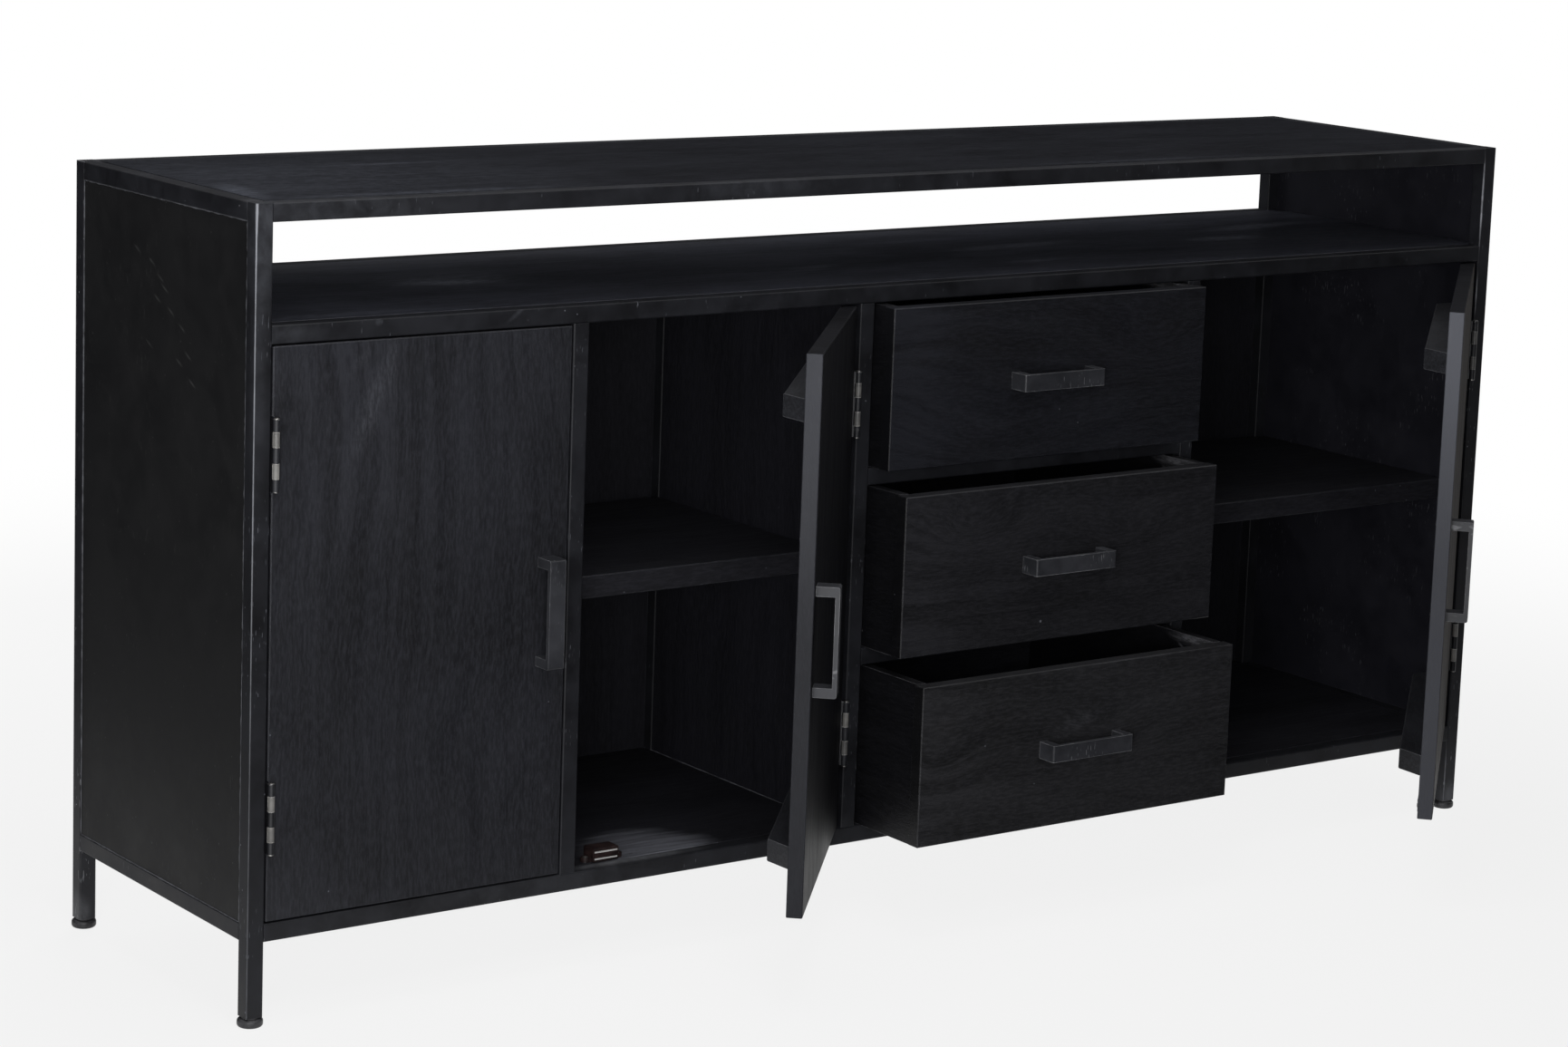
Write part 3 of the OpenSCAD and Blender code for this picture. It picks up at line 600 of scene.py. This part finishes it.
# Its two strokes lighten its left part: partly a haze at the joint, partly painted light from the lamp at
# the left.
dress(painted_steel(
    "front top rail paint", wear_and_sheen=(130, 133, 142), share=0.4, specks=0.4, seed=6.4,
    strokes=[Stroke(on_front(0.07, 0.872), X, 0.20, 0.04, 0.11),
             Stroke(on_front(0.62, 0.874), X, 0.12, 0.02, 0.08)]
), "top_rail_front")
dress(painted_steel(
    "deck rail paint", (13, 13, 16), (32, 33, 38), (130, 133, 142), share=0.45,
    specks=1.4, seed=7.4,
    strokes=[Stroke(on_front(0.03, 0.745), X, 0.06, 0.02, 0.12),
             Stroke(on_front(0.315, 0.747), (0.8, 0.0, 0.6), 0.016, 0.004, 0.2),
             Stroke(on_front(0.146, 0.749), X, 0.006, 0.005, 0.16)]
), "deck_rail_front")
# Its broad faint stroke is painted light bounced from the floor, and the narrow bright one along the back
# of its top is a painted highlight.
dress(painted_steel(
    "front bottom rail paint", wear_and_sheen=(150, 152, 158), share=0.5, specks=0.6, seed=8.4,
    strokes=[Stroke(on_front(0.30, 0.104), X, 0.32, 0.04, 0.04),
             Stroke(on_frame(0.50, 0.012, 0.113), X, 0.12, 0.013, 0.6)]
), "bottom_rail_front")

# Short scrapes down the left side sheet, each a distance behind the front and above the floor
SIDE_SCRAPES = ((0.270, 0.800), (0.235, 0.790), (0.215, 0.775), (0.205, 0.765), (0.222, 0.752),
                (0.190, 0.742), (0.165, 0.728), (0.240, 0.700), (0.150, 0.700), (0.170, 0.690),
                (0.140, 0.672))
SCRAPE_WAY = (0.0, -0.9, -0.43)
dress(painted_steel(
    "side sheet paint", (22, 22, 23), (29, 29, 30), (78, 78, 78), share=0.1,
    scratches=0.6, specks=0.6, gloss=0.5, level=0.22, seed=7.7,
    strokes=[Stroke(on_frame(0.0, y, z), SCRAPE_WAY, 0.014, 0.0024, 1.0)
             for y, z in SIDE_SCRAPES]
), "side_sheet_left")
dress(painted_steel(
    "inner side sheet paint", (22, 22, 28), (33, 33, 40), (110, 110, 116), share=0.3,
    scratches=0.6, specks=0.6, gloss=0.5, seed=8.8
), "side_sheet_right")


# ---- The finish of each board ----

# How each kind of board lies: its directions across, through and along the grain
LYING = (Y, Z, X)
SIDEWAYS_UPRIGHT = (Y, X, Z)
FACING_UPRIGHT = (X, Y, Z)
FACING_LENGTHWAYS = (Z, Y, X)
SIDEWAYS_LENGTHWAYS = (Z, X, Y)

low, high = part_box("top_board")
face = high.z - low.z
dress(stained_wood(
    "top board stain", LYING, tuple(low), (14, 14, 17), (40, 41, 46), (120, 124, 136),
    pith=30 * MM, slope=0.02, gloss=0.6, level=0.05, line=0.1, seed=1.0,
    knots=[Knot((0.12, 0.0, 0.9), 0.03, 0.12, 0.03)],
    # The haze at the left end and the first two strokes, over the left end and its front corner, are
    # painted sheen from the lamp at the left; the other strokes are pale streaks along the grain.
    haze_and_sheen=Cloud((0.05, 0.0, 0.0), (0.25, 1.0, 0.22), 0.5),
    strokes=[Stroke((0.18, face, 0.0), Z, 0.6, 0.3, 0.20),
             Stroke((0.07, face, 0.01), (0.97, 0.0, 0.24), 0.10, 0.032, 0.55),
             Stroke((0.012, face, 0.20), Z, 0.22, 0.018, 0.34),
             Stroke((0.262, face, 0.29), Z, 0.11, 0.010, 0.26),
             Stroke((0.016, face, 1.20), Z, 0.22, 0.015, 0.17)]
), "top_board")

low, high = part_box("deck_board")
face = high.z - low.z
# The deck's stain is paler than the other boards', in part standing for the sheen it reflects, and its
# pale strokes are painted highlights.
dress(stained_wood(
    "deck board stain", LYING, tuple(low), (25, 25, 30), (75, 77, 88), (150, 154, 168),
    pith=40 * MM, slope=0.02, gloss=0.45, level=0.5, seed=2.0,
    knots=[Knot((0.188, 0.0, 0.35), 0.03, 0.07, 0.06)],
    strokes=[Stroke((0.185, face, 0.35), (-0.16, 0.0, 0.98), 0.085, 0.022, 1.0),
             Stroke((0.195, face, 0.35), Z, 0.14, 0.075, 0.34),
             Stroke((0.022, face, 0.14), Z, 0.14, 0.014, 0.22),
             Stroke((0.135, face, 0.82), (0.35, 0.0, 0.94), 0.07, 0.022, 0.34),
             Stroke((0.205, face, 1.18), (0.1, 0.0, 0.99), 0.18, 0.026, 0.42),
             Stroke((0.085, face, 1.12), (0.1, 0.0, 0.99), 0.08, 0.016, 0.34),
             Stroke((0.165, face, 1.50), Z, 0.09, 0.024, 0.75),
             Stroke((0.245, face, 1.62), (0.15, 0.0, 0.99), 0.12, 0.03, 0.5),
             Stroke((0.13, face, 1.62), Z, 0.22, 0.11, 0.2)]
), "deck_board")

low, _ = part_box("floor_board")
# The pale patch by the catch is partly a scuff and partly a painted reflection.
dress(stained_wood(
    "floor board stain", LYING, tuple(low), wear_and_sheen=(150, 152, 162), seed=3.0,
    scuff_and_reflection=Cloud((0.028, 0.016, 0.512), (0.072, 1.0, 0.088), 0.62)
), "floor_board")
for name, seed in (("partition_left", 4.0), ("partition_right", 5.0)):
    low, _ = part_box(name)
    dress(stained_wood(
        name.replace("_", " ") + " stain", SIDEWAYS_UPRIGHT, tuple(low), (18, 18, 22),
        (37, 37, 43), seed=seed
    ), name)
low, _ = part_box("back_sheets")
dress(stained_wood(
    "back sheet stain", FACING_UPRIGHT, tuple(low), (18, 18, 22), (38, 38, 44),
    pith=25 * MM, slope=0.03, seed=6.0
), "back_sheets")
for name, seed in (("shelf_left", 7.0), ("shelf_right", 8.0)):
    low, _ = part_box(name)
    dress(stained_wood(
        name.replace("_", " ") + " stain", LYING, tuple(low), (15, 15, 18), (42, 42, 48),
        share=0.6, gloss=0.55, seed=seed
    ), name)


# ---- The finish of each door ----

# Where a panel's hinged edge stands, counted from the pins towards its free edge
OFF_PIN = -1.6 * MM
# The brown of the warm reflection painted over the right door's outer face.
WARM_REFLECTION_BROWN = (42, 35, 28)
# A band painted on one face or an end fades in between these depths
FACE_SKIN = (0.9 * MM, 0.3 * MM)
END_SKIN = (1.2 * MM, 0.4 * MM)

# Marks are counted across from the hinge pins and up from the panel's foot
DOORS = {
    "door_left": dict(
        width=0.366, dark=(14, 14, 17), light=(48, 49, 55), line=0.4,
        knots=[Knot((0.20, 0.0, 0.16), 0.05, 0.13, 0.05),
               Knot((0.13, 0.0, 0.50), 0.04, 0.11, -0.02)],
        # High on the left door, the haze and the first three strokes are partly a pale wax smear and
        # partly painted sheen from the lamp; the last three strokes are worn corners and edges.
        haze_and_sheen=Cloud((0.05, 0.0, 0.62), (0.35, 1.0, 0.35), 0.35),
        strokes=[Stroke((0.116, 0.0, 0.548), (0.37, 0.0, 0.93), 0.085, 0.020, 0.22),
                 Stroke((0.102, 0.0, 0.595), (0.69, 0.0, 0.72), 0.045, 0.010, 0.14),
                 Stroke((0.141, 0.0, 0.585), Z, 0.06, 0.012, 0.14),
                 Stroke((0.004, 0.0, 0.622), (0.7, 0.0, 0.7), 0.02, 0.008, 0.9),
                 Stroke((0.3640, 0.0, 0.31), Z, 0.38, 0.0018, 0.8),
                 Stroke((0.26, 0.0, 0.0004), X, 0.26, 0.0018, 0.8)]),
    "door_middle": dict(
        width=0.366, dark=(9, 9, 11), light=(30, 30, 34), level=0.12, edge_sheen=0.34, edge_sheen_foot=0.36,
        knots=[Knot((0.18, 0.0, 0.35), 0.05, 0.12, 0.04)]),
    "door_right": dict(
        width=0.476, dark=(11, 11, 13), light=(34, 34, 38), level=0.09, edge_sheen=0.85, edge_sheen_foot=0.48,
        warm_reflection=0.85, knots=[Knot((0.25, 0.0, 0.30), 0.05, 0.14, 0.04)]),
}
door_axes = {}
for seed, (door, look) in enumerate(DOORS.items(), 10):
    hinge = next(j for j in frame["joints"] if j["child"] == door)
    turn = math.radians(-min(hinge["range_deg"]) * hinge["axis"][2])
    across = Vector((math.cos(turn), math.sin(turn), 0.0))
    through = Vector((-math.sin(turn), math.cos(turn), 0.0))
    if hinge["axis"][2] > 0:
        across = -across
    low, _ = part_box(door + "_panel")
    start = Vector((hinge["pos_m"][0], hinge["pos_m"][1], low.z))
    outer_face = corner_low.y - start.y
    free_edge = look["width"] + OFF_PIN
    door_axes[door] = (start, across, through, free_edge)
    # Painted warm reflection over the right door's outer face.
    skin_in, skin_out = FACE_SKIN
    reflection_band = Band(THROUGH, outer_face + skin_in, outer_face + skin_out,
                     look.get("warm_reflection", 0.0), WARM_REFLECTION_BROWN)
    # Painted sheen down each open door's free edge, pale where the edge catches the lamp, fainter towards
    # the foot.
    skin_in, skin_out = END_SKIN
    sheen_band = Band(ACROSS, free_edge - skin_in, free_edge - skin_out,
                    look.get("edge_sheen", 0.0), WOOD_WEAR_AND_SHEEN, look.get("edge_sheen_foot", 1.0))
    title = door.replace("_", " ")
    dress(stained_wood(
        title + " stain", (tuple(across), tuple(through), Z), tuple(start),
        look["dark"], look["light"], share=0.55, knots=look["knots"],
        haze_and_sheen=look.get("haze_and_sheen"), strokes=look.get("strokes", ()),
        ends=[reflection_band, sheen_band], line=look.get("line", 0.2),
        level=look.get("level", 0.3), seed=float(seed)
    ), door + "_panel")
    dress(stained_wood(
        title + " batten stain", (Z, tuple(through), tuple(across)), tuple(start),
        light=(52, 53, 58), wear_and_sheen=(130, 131, 136), share=0.75, line=0.3,
        rub_width=1.2 * MM, seed=seed + 0.5
    ), door + "_battens")


# ---- The finish of each drawer ----

DRAWERS = {
    "drawer_top": dict(
        dark=(11, 11, 14), light=(34, 35, 41), haze_and_sheen=0.9,
        knots=[Knot((0.13, 0.0, 0.40), 0.03, 0.06, 0.06),
               Knot((0.03, 0.0, 0.15), 0.04, 0.10, 0.04)],
        strokes=[]),
    "drawer_middle": dict(
        dark=(13, 13, 15), light=(42, 42, 46), haze_and_sheen=0.4,
        knots=[Knot((0.150, 0.0, 0.10), 0.028, 0.055, 0.09),
               Knot((0.12, 0.0, 0.33), 0.025, 0.06, 0.06)],
        strokes=[Stroke((0.023, 0.0, 0.208), Z, 0.0022, 0.0022, 3.0)]),
    "drawer_bottom": dict(
        dark=(17, 17, 18), light=(50, 50, 53), haze_and_sheen=0.3,
        knots=[Knot((0.11, 0.0, 0.27), 0.035, 0.07, 0.06),
               Knot((0.10, 0.0, 0.02), 0.04, 0.06, 0.05)],
        strokes=[Stroke((0.12, 0.0, 0.23), (0.3, 0.0, 0.95), 0.07, 0.014, 0.1)]),
}
# Each front is darkest on its left end, and lighter beside it: partly haze, partly painted sheen
LEFT_END = Band(ALONG, *FACE_SKIN, 0.8, (6, 6, 8))
HAZE_AND_SHEEN_AT, HAZE_AND_SHEEN_REACH = (0.1, 0.0, 0.0), (0.3, 1.0, 0.13)
# Where the sides are rubbed, in from the right face and down from the top
SIDE_RUB_IN = 0.012
RUB_DOWN, SCRAPE_DOWN = 0.006, 0.02
for seed, (drawer, look) in enumerate(DRAWERS.items(), 20):
    title = drawer.replace("_", " ")
    low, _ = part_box(drawer + "_front")
    dress(stained_wood(
        title + " front stain", FACING_LENGTHWAYS, tuple(low), look["dark"], look["light"],
        knots=look["knots"], share=0.5, line=0.06, strokes=look["strokes"],
        ends=[LEFT_END], haze_and_sheen=Cloud(HAZE_AND_SHEEN_AT, HAZE_AND_SHEEN_REACH, look["haze_and_sheen"]),
        seed=float(seed)
    ), drawer + "_front")
    low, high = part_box(drawer + "_sides")
    depth, height = high.x - low.x - SIDE_RUB_IN, high.z - low.z
    dress(stained_wood(
        title + " side stain", SIDEWAYS_LENGTHWAYS, tuple(low), (8, 8, 10), (26, 26, 30),
        (150, 150, 156), share=0.6, line=0.3, seed=seed + 5.0,
        strokes=[Stroke((height - RUB_DOWN, depth, 0.03), Z, 0.06, 0.01, 0.6),
                 Stroke((height - SCRAPE_DOWN, depth, 0.05), (0.5, 0.0, 0.86), 0.04,
                        0.003, 0.6)]
    ), drawer + "_sides")
low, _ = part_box("drawer_runners")
dress(stained_wood("drawer runner stain", SIDEWAYS_LENGTHWAYS, tuple(low), seed=25.0), "drawer_runners")
dress(stained_wood("drawer back stain", FACING_LENGTHWAYS, tuple(low), seed=26.0),
      *[drawer + "_back" for drawer in DRAWERS])
dress(stained_wood("drawer base stain", LYING, tuple(low), seed=27.0),
      *[drawer + "_base" for drawer in DRAWERS])


# ---- The finish of the handles, hinges, catches and feet ----

dress(painted_steel(
    "handle paint", (34, 35, 39), (60, 61, 66), (160, 161, 165), share=0.55, gloss=0.4,
    level=0.4, line=0.4, specks=0.9, scratches=0.8, seed=9.2
), *[name + "_handle" for name in (*DOORS, *DRAWERS)])

# The knuckles keep their steel bare this far from the pins' middle
BARREL = 3.7 * MM
dress(painted_steel(
    "frame leaf steel", (70, 70, 72), (150, 148, 144), (235, 232, 226), share=0.7,
    level=0.5, gloss=0.3, rub_width=1.0 * MM, barrel=BARREL, seed=12.0,
    pins=[j["pos_m"] for j in frame["joints"] if j["child"] in DOORS]
), "hinge_frame_leaves")
# The catch plates are a pale paint rather than bare metal: the bright reflection of their plating is
# painted into their colour.
dress(painted_steel(
    "catch plate steel", (150, 150, 152), (214, 213, 210), (240, 240, 240), share=0.4,
    level=0.6, gloss=0.3, seed=1.0
), "catch_poles")
dress(painted_steel(
    "hinge leaf paint", (22, 23, 26), (44, 45, 50), (170, 170, 172), share=0.5,
    level=0.4, gloss=0.35, rub_width=1.0 * MM, seed=11.0
), *[door + "_fittings" for door in DOORS])
dress(bare_metal("hinge pin steel", (90, 90, 92), (180, 178, 174), seed=2.0), "hinge_pins")
dress(moulded_plastic("catch plastic", (20, 14, 15), (50, 36, 35), seed=3.0), "catch_housings")
dress(moulded_plastic("glide plastic", (20, 20, 21), (72, 72, 75), rough=0.35, seed=4.0), "foot_glides")


# ---- Seams ----

# How a seam is made: the length of its steps, its sides, and how quickly it swells and thins
SEAM_STEP = 4 * MM
SEAM_SIDES = 6
SEAM_LUMPS = 140.0
SIDE_SEAM, FLOOR_SEAM = 0.9 * MM, 0.8 * MM
# Its thickness as shares of its radius: the least, the usual, the swing, and what is left at the ends
SEAM_LEAST, SEAM_USUAL, SEAM_SWING, SEAM_TIP = 0.35, 0.85, 0.9, 0.4


def skin_over(form, rings):
    """Joins each ring of corners to the next one with faces."""
    count = len(rings[0])
    for one, two in zip(rings, rings[1:]):
        for k in range(count):
            form.faces.new((one[k], one[(k + 1) % count], two[(k + 1) % count], two[k]))


def new_piece(name, form, finish, body):
    """Makes a smooth piece of a form and fixes it to a body."""
    bmesh.ops.recalc_face_normals(form, faces=form.faces)
    mesh = bpy.data.meshes.new(name)
    form.to_mesh(mesh)
    form.free()
    mesh.materials.append(finish)
    for face in mesh.polygons:
        face.use_smooth = True
    piece = bpy.data.objects.new(name, mesh)
    bpy.context.scene.collection.objects.link(piece)
    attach(piece, body)


def filled_seams(name, runs, radius, finish):
    """Thin filled seams along straight runs of the carcass, swelling and thinning as they go."""
    form = bmesh.new()
    turns = [math.tau * k / SEAM_SIDES for k in range(SEAM_SIDES)]
    for number, (start, end) in enumerate(runs):
        start, end = Vector(start), Vector(end)
        way = (end - start).normalized()
        side = way.orthogonal().normalized()
        other = way.cross(side)
        count = max(4, round((end - start).length / SEAM_STEP))
        rings = []
        for i in range(count + 1):
            at = start.lerp(end, i / count)
            swell = noise.noise(at * SEAM_LUMPS + Vector((number, 0.0, 0.0)))
            thick = radius * max(SEAM_LEAST, SEAM_USUAL + SEAM_SWING * swell)
            if i in (0, count):
                thick *= SEAM_TIP
            rings.append([form.verts.new(at + thick * (math.cos(a) * side + math.sin(a) * other))
                          for a in turns])
        skin_over(form, rings)
        form.faces.new(list(reversed(rings[0])))
        form.faces.new(rings[-1])
    new_piece(name, form, finish, "carcass")


# The seams are painted pale: down the side sheets they stand partly for a filled joint and partly for the
# painted highlight of the posts' rounded corners; along the floor they mark the pale lines where the
# partitions meet it.
seam_paint_and_highlight = painted_steel("seam paint and highlight", (70, 71, 76), (120, 122, 128), (190, 192, 198), share=0.6,
                           rub_width=0.6 * MM, seed=14.0)
for hand, outer in (("left", 0), ("right", 1)):
    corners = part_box("side_sheet_" + hand)
    low, high = corners
    x = corners[outer].x
    turning = [(x, low.y, low.z), (x, low.y, high.z), (x, high.y, high.z), (x, high.y, low.z)]
    filled_seams("side_seam_" + hand, list(zip(turning, turning[1:] + turning[:1])), SIDE_SEAM, seam_paint_and_highlight)

back_low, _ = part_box("back_sheets")
_, floor_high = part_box("floor_board")
runs = []
for partition, outer in (("partition_left", 0), ("partition_right", 1)):
    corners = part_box(partition)
    x = corners[outer].x
    runs.append(((x, corners[0].y, floor_high.z), (x, back_low.y, floor_high.z)))
filled_seams("floor_seams", runs, FLOOR_SEAM, seam_paint_and_highlight)


# ---- Screws ----

# The heads' radii, and how far they rise
HANDLE_HEAD, CATCH_HEAD, STRIKE_HEAD = 3.6 * MM, 3.7 * MM, 2.9 * MM
HEAD_RISE, CATCH_HEAD_RISE = 1.0 * MM, 1.1 * MM
# A head's rings as shares of its radius, and the half width, reach and depth of its cross recess
SPOKES = 24
RINGS = (0.16, 0.34, 0.5, 0.62, 0.8, 0.93, 1.0)
CROSS_HALF_WIDTH, CROSS_REACH, CROSS_DEPTH = 0.15, 0.58, 0.75
# How far a head goes into what it holds, as a share of its rise
HEAD_SINK = 0.3
# How round the dome is, from 0, flat, to 1, and how far each screw is turned beyond the last
DOME, TURN = 0.97, 0.7

# The doors' inner faces lie this far behind the hinge pins
DOOR_BACK = 23.6 * MM
# A handle's screws lie this far to both sides of its middle, and on a door this far from the free edge
HANDLE_SCREW_REACH = 55.5 * MM
HANDLE_INSET = 27 * MM
# A strike plate's thickness, and its screws' height over the foot and distances from the free edge
STRIKE_THICK = 1.2 * MM
STRIKE_RISE = 6 * MM
STRIKE_INSETS = (42 * MM, 63 * MM)
# A catch's screws: distances from the free edge, distance behind the front, and depth below the lugs' top
LUG_INSETS = (31.5 * MM, 73.5 * MM)
LUG_BACK = 30.6 * MM
LUG_SINK = 0.5 * MM


def screw_heads(name, places, rise, finish, body):
    """Low round screw heads with a cross recess, each at (centre, outward direction, radius)."""
    form = bmesh.new()
    for number, (centre, out, radius) in enumerate(places):
        out = Vector(out).normalized()
        side = out.orthogonal().normalized()
        other = out.cross(side)
        turned = TURN * number

        def spot(share, k):
            angle = math.tau * k / SPOKES
            across, up = share * math.cos(angle), share * math.sin(angle)
            height = rise * math.sqrt(1.0 - (DOME * share) ** 2)
            if min(abs(across), abs(up)) < CROSS_HALF_WIDTH and share < CROSS_REACH:
                height -= CROSS_DEPTH * rise * (1.0 - share)
            angle += turned
            flat = radius * share * (math.cos(angle) * side + math.sin(angle) * other)
            return form.verts.new(Vector(centre) + flat + out * height)

        rings = [[spot(share, k) for k in range(SPOKES)] for share in RINGS]
        foot = []
        for rim in rings[-1]:
            above = (rim.co - Vector(centre)).dot(out)
            foot.append(form.verts.new(rim.co - out * (rise * HEAD_SINK + above)))
        rings.append(foot)
        skin_over(form, rings)
        form.faces.new(rings[0])
        form.faces.new(foot)
    new_piece(name, form, finish, body)


def inside_door(axes, inset, out, rise):
    """A place inside a door: in from its free edge, out from its inner face and up from its foot."""
    start, across, through, width = axes
    return start + across * (width - inset) + through * (DOOR_BACK + out) + Vector((0, 0, rise))


screw_steel = bare_metal("screw steel", (70, 70, 72), (170, 168, 164), 0.35, seed=5.0)
catch_low, catch_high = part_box("catch_housings")
lug_top = catch_low.z + (catch_high.z - catch_low.z) / 3
catch_places = []
for door, axes in door_axes.items():
    start, _, through, width = axes
    hand = 1.0 if door == "door_left" else -1.0
    for inset in LUG_INSETS:
        x = start.x + hand * (width - inset)
        catch_places.append(((x, front_left.y + LUG_BACK, lug_top - LUG_SINK), Z, CATCH_HEAD))
    grip_low, grip_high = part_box(door + "_handle")
    middle_z = (grip_low.z + grip_high.z) / 2
    places = [(inside_door(axes, HANDLE_INSET, 0.0, middle_z + rise - start.z), through, HANDLE_HEAD)
              for rise in (-HANDLE_SCREW_REACH, HANDLE_SCREW_REACH)]
    places += [(inside_door(axes, inset, STRIKE_THICK, STRIKE_RISE), through, STRIKE_HEAD)
               for inset in STRIKE_INSETS]
    screw_heads(door + "_screws", places, HEAD_RISE, screw_steel, door)
screw_heads("catch_screws", catch_places, CATCH_HEAD_RISE, screw_steel, "carcass")
for drawer in DRAWERS:
    grip_low, grip_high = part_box(drawer + "_handle")
    _, front_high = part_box(drawer + "_front")
    middle_x = (grip_low.x + grip_high.x) / 2
    middle_z = (grip_low.z + grip_high.z) / 2
    places = [((middle_x + aside, front_high.y, middle_z), Y, HANDLE_HEAD)
              for aside in (-HANDLE_SCREW_REACH, HANDLE_SCREW_REACH)]
    screw_heads(drawer + "_screws", places, HEAD_RISE, screw_steel, drawer)


# ---- Floor and backdrop ----

WHITE, BLACK = (1.0, 1.0, 1.0, 1.0), (0.0, 0.0, 0.0, 1.0)
FLOOR_COLOUR = (0.82, 0.82, 0.82, 1.0)
FLOOR_HALF = 40
# The floor shows this share of its light near the middle, and plain white beyond the far distance
FLOOR_SHARE = 0.15
LIT_NEAR, LIT_FAR = 1.0, 3.0
# How strongly the white round the scene lights the piece
AMBIENT = 0.05


def background_rays(b):
    """1 for rays that show the background itself: to the camera, or by a mirror or glass."""
    rays = b.node("ShaderNodeLightPath").outputs
    seen = b.math("MAXIMUM", rays["Is Camera Ray"], rays["Is Glossy Ray"])
    return b.math("MAXIMUM", seen, rays["Is Transmission Ray"])


mesh = bpy.data.meshes.new("floor")
mesh.from_pydata([(x * FLOOR_HALF, y * FLOOR_HALF, 0) for x, y in ((-1, -1), (1, -1), (1, 1), (-1, 1))],
                 [], [(0, 1, 2, 3)])
floor = bpy.data.objects.new("floor", mesh)
bpy.context.scene.collection.objects.link(floor)
finish, b, shader = new_finish("pale floor")
b.fill(shader, Base_Color=FLOOR_COLOUR, Roughness=0.9, Specular_IOR_Level=0.0)
glow = b.node("ShaderNodeEmission")
lit_share = b.fit(b.vector("LENGTH", b.object_place()), LIT_NEAR, LIT_FAR, FLOOR_SHARE, 0.0)
white_share = b.math("MULTIPLY", background_rays(b), b.math("SUBTRACT", 1.0, lit_share))
blend = b.feed(b.node("ShaderNodeMixShader"), white_share, shader.outputs[0], glow.outputs[0])
output = next(n for n in finish.node_tree.nodes if n.type == "OUTPUT_MATERIAL")
b.fill(output, Surface=blend)
mesh.materials.append(finish)

world = bpy.data.worlds.new("studio")
bpy.context.scene.world = world
world.use_nodes = True
b = Bench(world.node_tree)
backdrop = next(n for n in world.node_tree.nodes if n.type == "BACKGROUND")
b.fill(backdrop, Color=WHITE, Strength=b.fit(background_rays(b), 0.0, 1.0, AMBIENT, 1.0, soft=False))


# ---- Light ----

SCREEN_GLOW = (0.8, 0.85, 1.0, 1.0)
SCREEN_LIFT = 3 * MM


def soft_box(name, at, target, size, power, glossy=True):
    """A square soft light that faces its target; glossy surfaces may be blind to it."""
    lamp = bpy.data.lights.new(name, "AREA")
    lamp.shape = "SQUARE"
    lamp.size = size
    lamp.energy = power
    holder = bpy.data.objects.new(name, lamp)
    bpy.context.scene.collection.objects.link(holder)
    holder.location = at
    holder.rotation_euler = (Vector(target) - Vector(at)).to_track_quat("-Z", "Y").to_euler()
    holder.visible_camera = False
    holder.visible_glossy = glossy


def dark_screen(name, near, far, height, level):
    """A black cloth on the floor and up behind it, which only glossy surfaces see."""
    corners = [(x, y, SCREEN_LIFT) for x, y in near + far] + [(x, y, height) for x, y in far]
    cloth = bpy.data.meshes.new(name)
    cloth.from_pydata(corners, [], [(0, 1, 3, 2), (2, 3, 5, 4)])
    screen = bpy.data.objects.new(name, cloth)
    bpy.context.scene.collection.objects.link(screen)
    for ray in ("camera", "diffuse", "transmission", "volume_scatter", "shadow"):
        setattr(screen, "visible_" + ray, False)
    finish, b, shader = new_finish(name)
    b.fill(shader, Base_Color=BLACK, Specular_IOR_Level=0.0, Emission_Color=SCREEN_GLOW,
           Emission_Strength=level)
    cloth.materials.append(finish)


dark_screen("front screen", near=((-0.7, -0.2), (1.1, -0.2)), far=((-0.75, -4.5), (5.5, -1.6)),
            height=3.5, level=0.03)
dark_screen("back screen", near=((-0.6, 0.45), (1.1, 0.0)), far=((-1.2, 5.5), (6.0, 1.0)),
            height=5.0, level=0.038)
dark_screen("side screen", near=((-1.2, -0.3), (-1.2, 0.5)), far=((-4.5, 1.2), (-0.8, 5.5)),
            height=3.5, level=0.04)

soft_box("key light", at=(-2.9, -2.9, 0.75), target=(0.0, -0.2, 0.4), size=1.2, power=54.0)
soft_box("fill light", at=(-1.8, -3.2, 1.2), target=(0.0, 0.0, 0.5), size=1.0, power=14.0)
soft_box("corner light", at=(-0.85, -1.1, 1.6), target=(-0.75, 0.0, 0.75), size=0.5, power=3.5)
soft_box("top light", at=(-0.6, -0.4, 2.8), target=(-0.4, 0.0, 0.5), size=1.2, power=10.0)
soft_box("back light", at=(0.25, 1.5, 1.2), target=(0.15, 0.1, 0.75), size=1.4, power=11.0, glossy=False)


# ---- Camera ----

EYE = (-2.774353, -3.536672, 1.362820)
YAW = math.radians(36.1414)
PITCH = math.radians(9.4513)
ROLL = math.radians(2.0564)
ahead = Vector((math.sin(YAW) * math.cos(PITCH), math.cos(YAW) * math.cos(PITCH), -math.sin(PITCH)))
level = Vector((math.cos(YAW), -math.sin(YAW), 0.0))
upright = level.cross(ahead)
right = level * math.cos(ROLL) + upright * math.sin(ROLL)
up = upright * math.cos(ROLL) - level * math.sin(ROLL)
lens = bpy.data.cameras.new("camera")
lens.sensor_width = 36.0
lens.lens = 88.818
lens.shift_y = -0.086705
lens.clip_end = 200.0
camera = bpy.data.objects.new("camera", lens)
bpy.context.scene.collection.objects.link(camera)
rows = [(right[i], up[i], -ahead[i], EYE[i]) for i in range(3)]
camera.matrix_world = Matrix((*rows, (0.0, 0.0, 0.0, 1.0)))
bpy.context.scene.camera = camera
bpy.context.scene.view_settings.view_transform = "Standard"
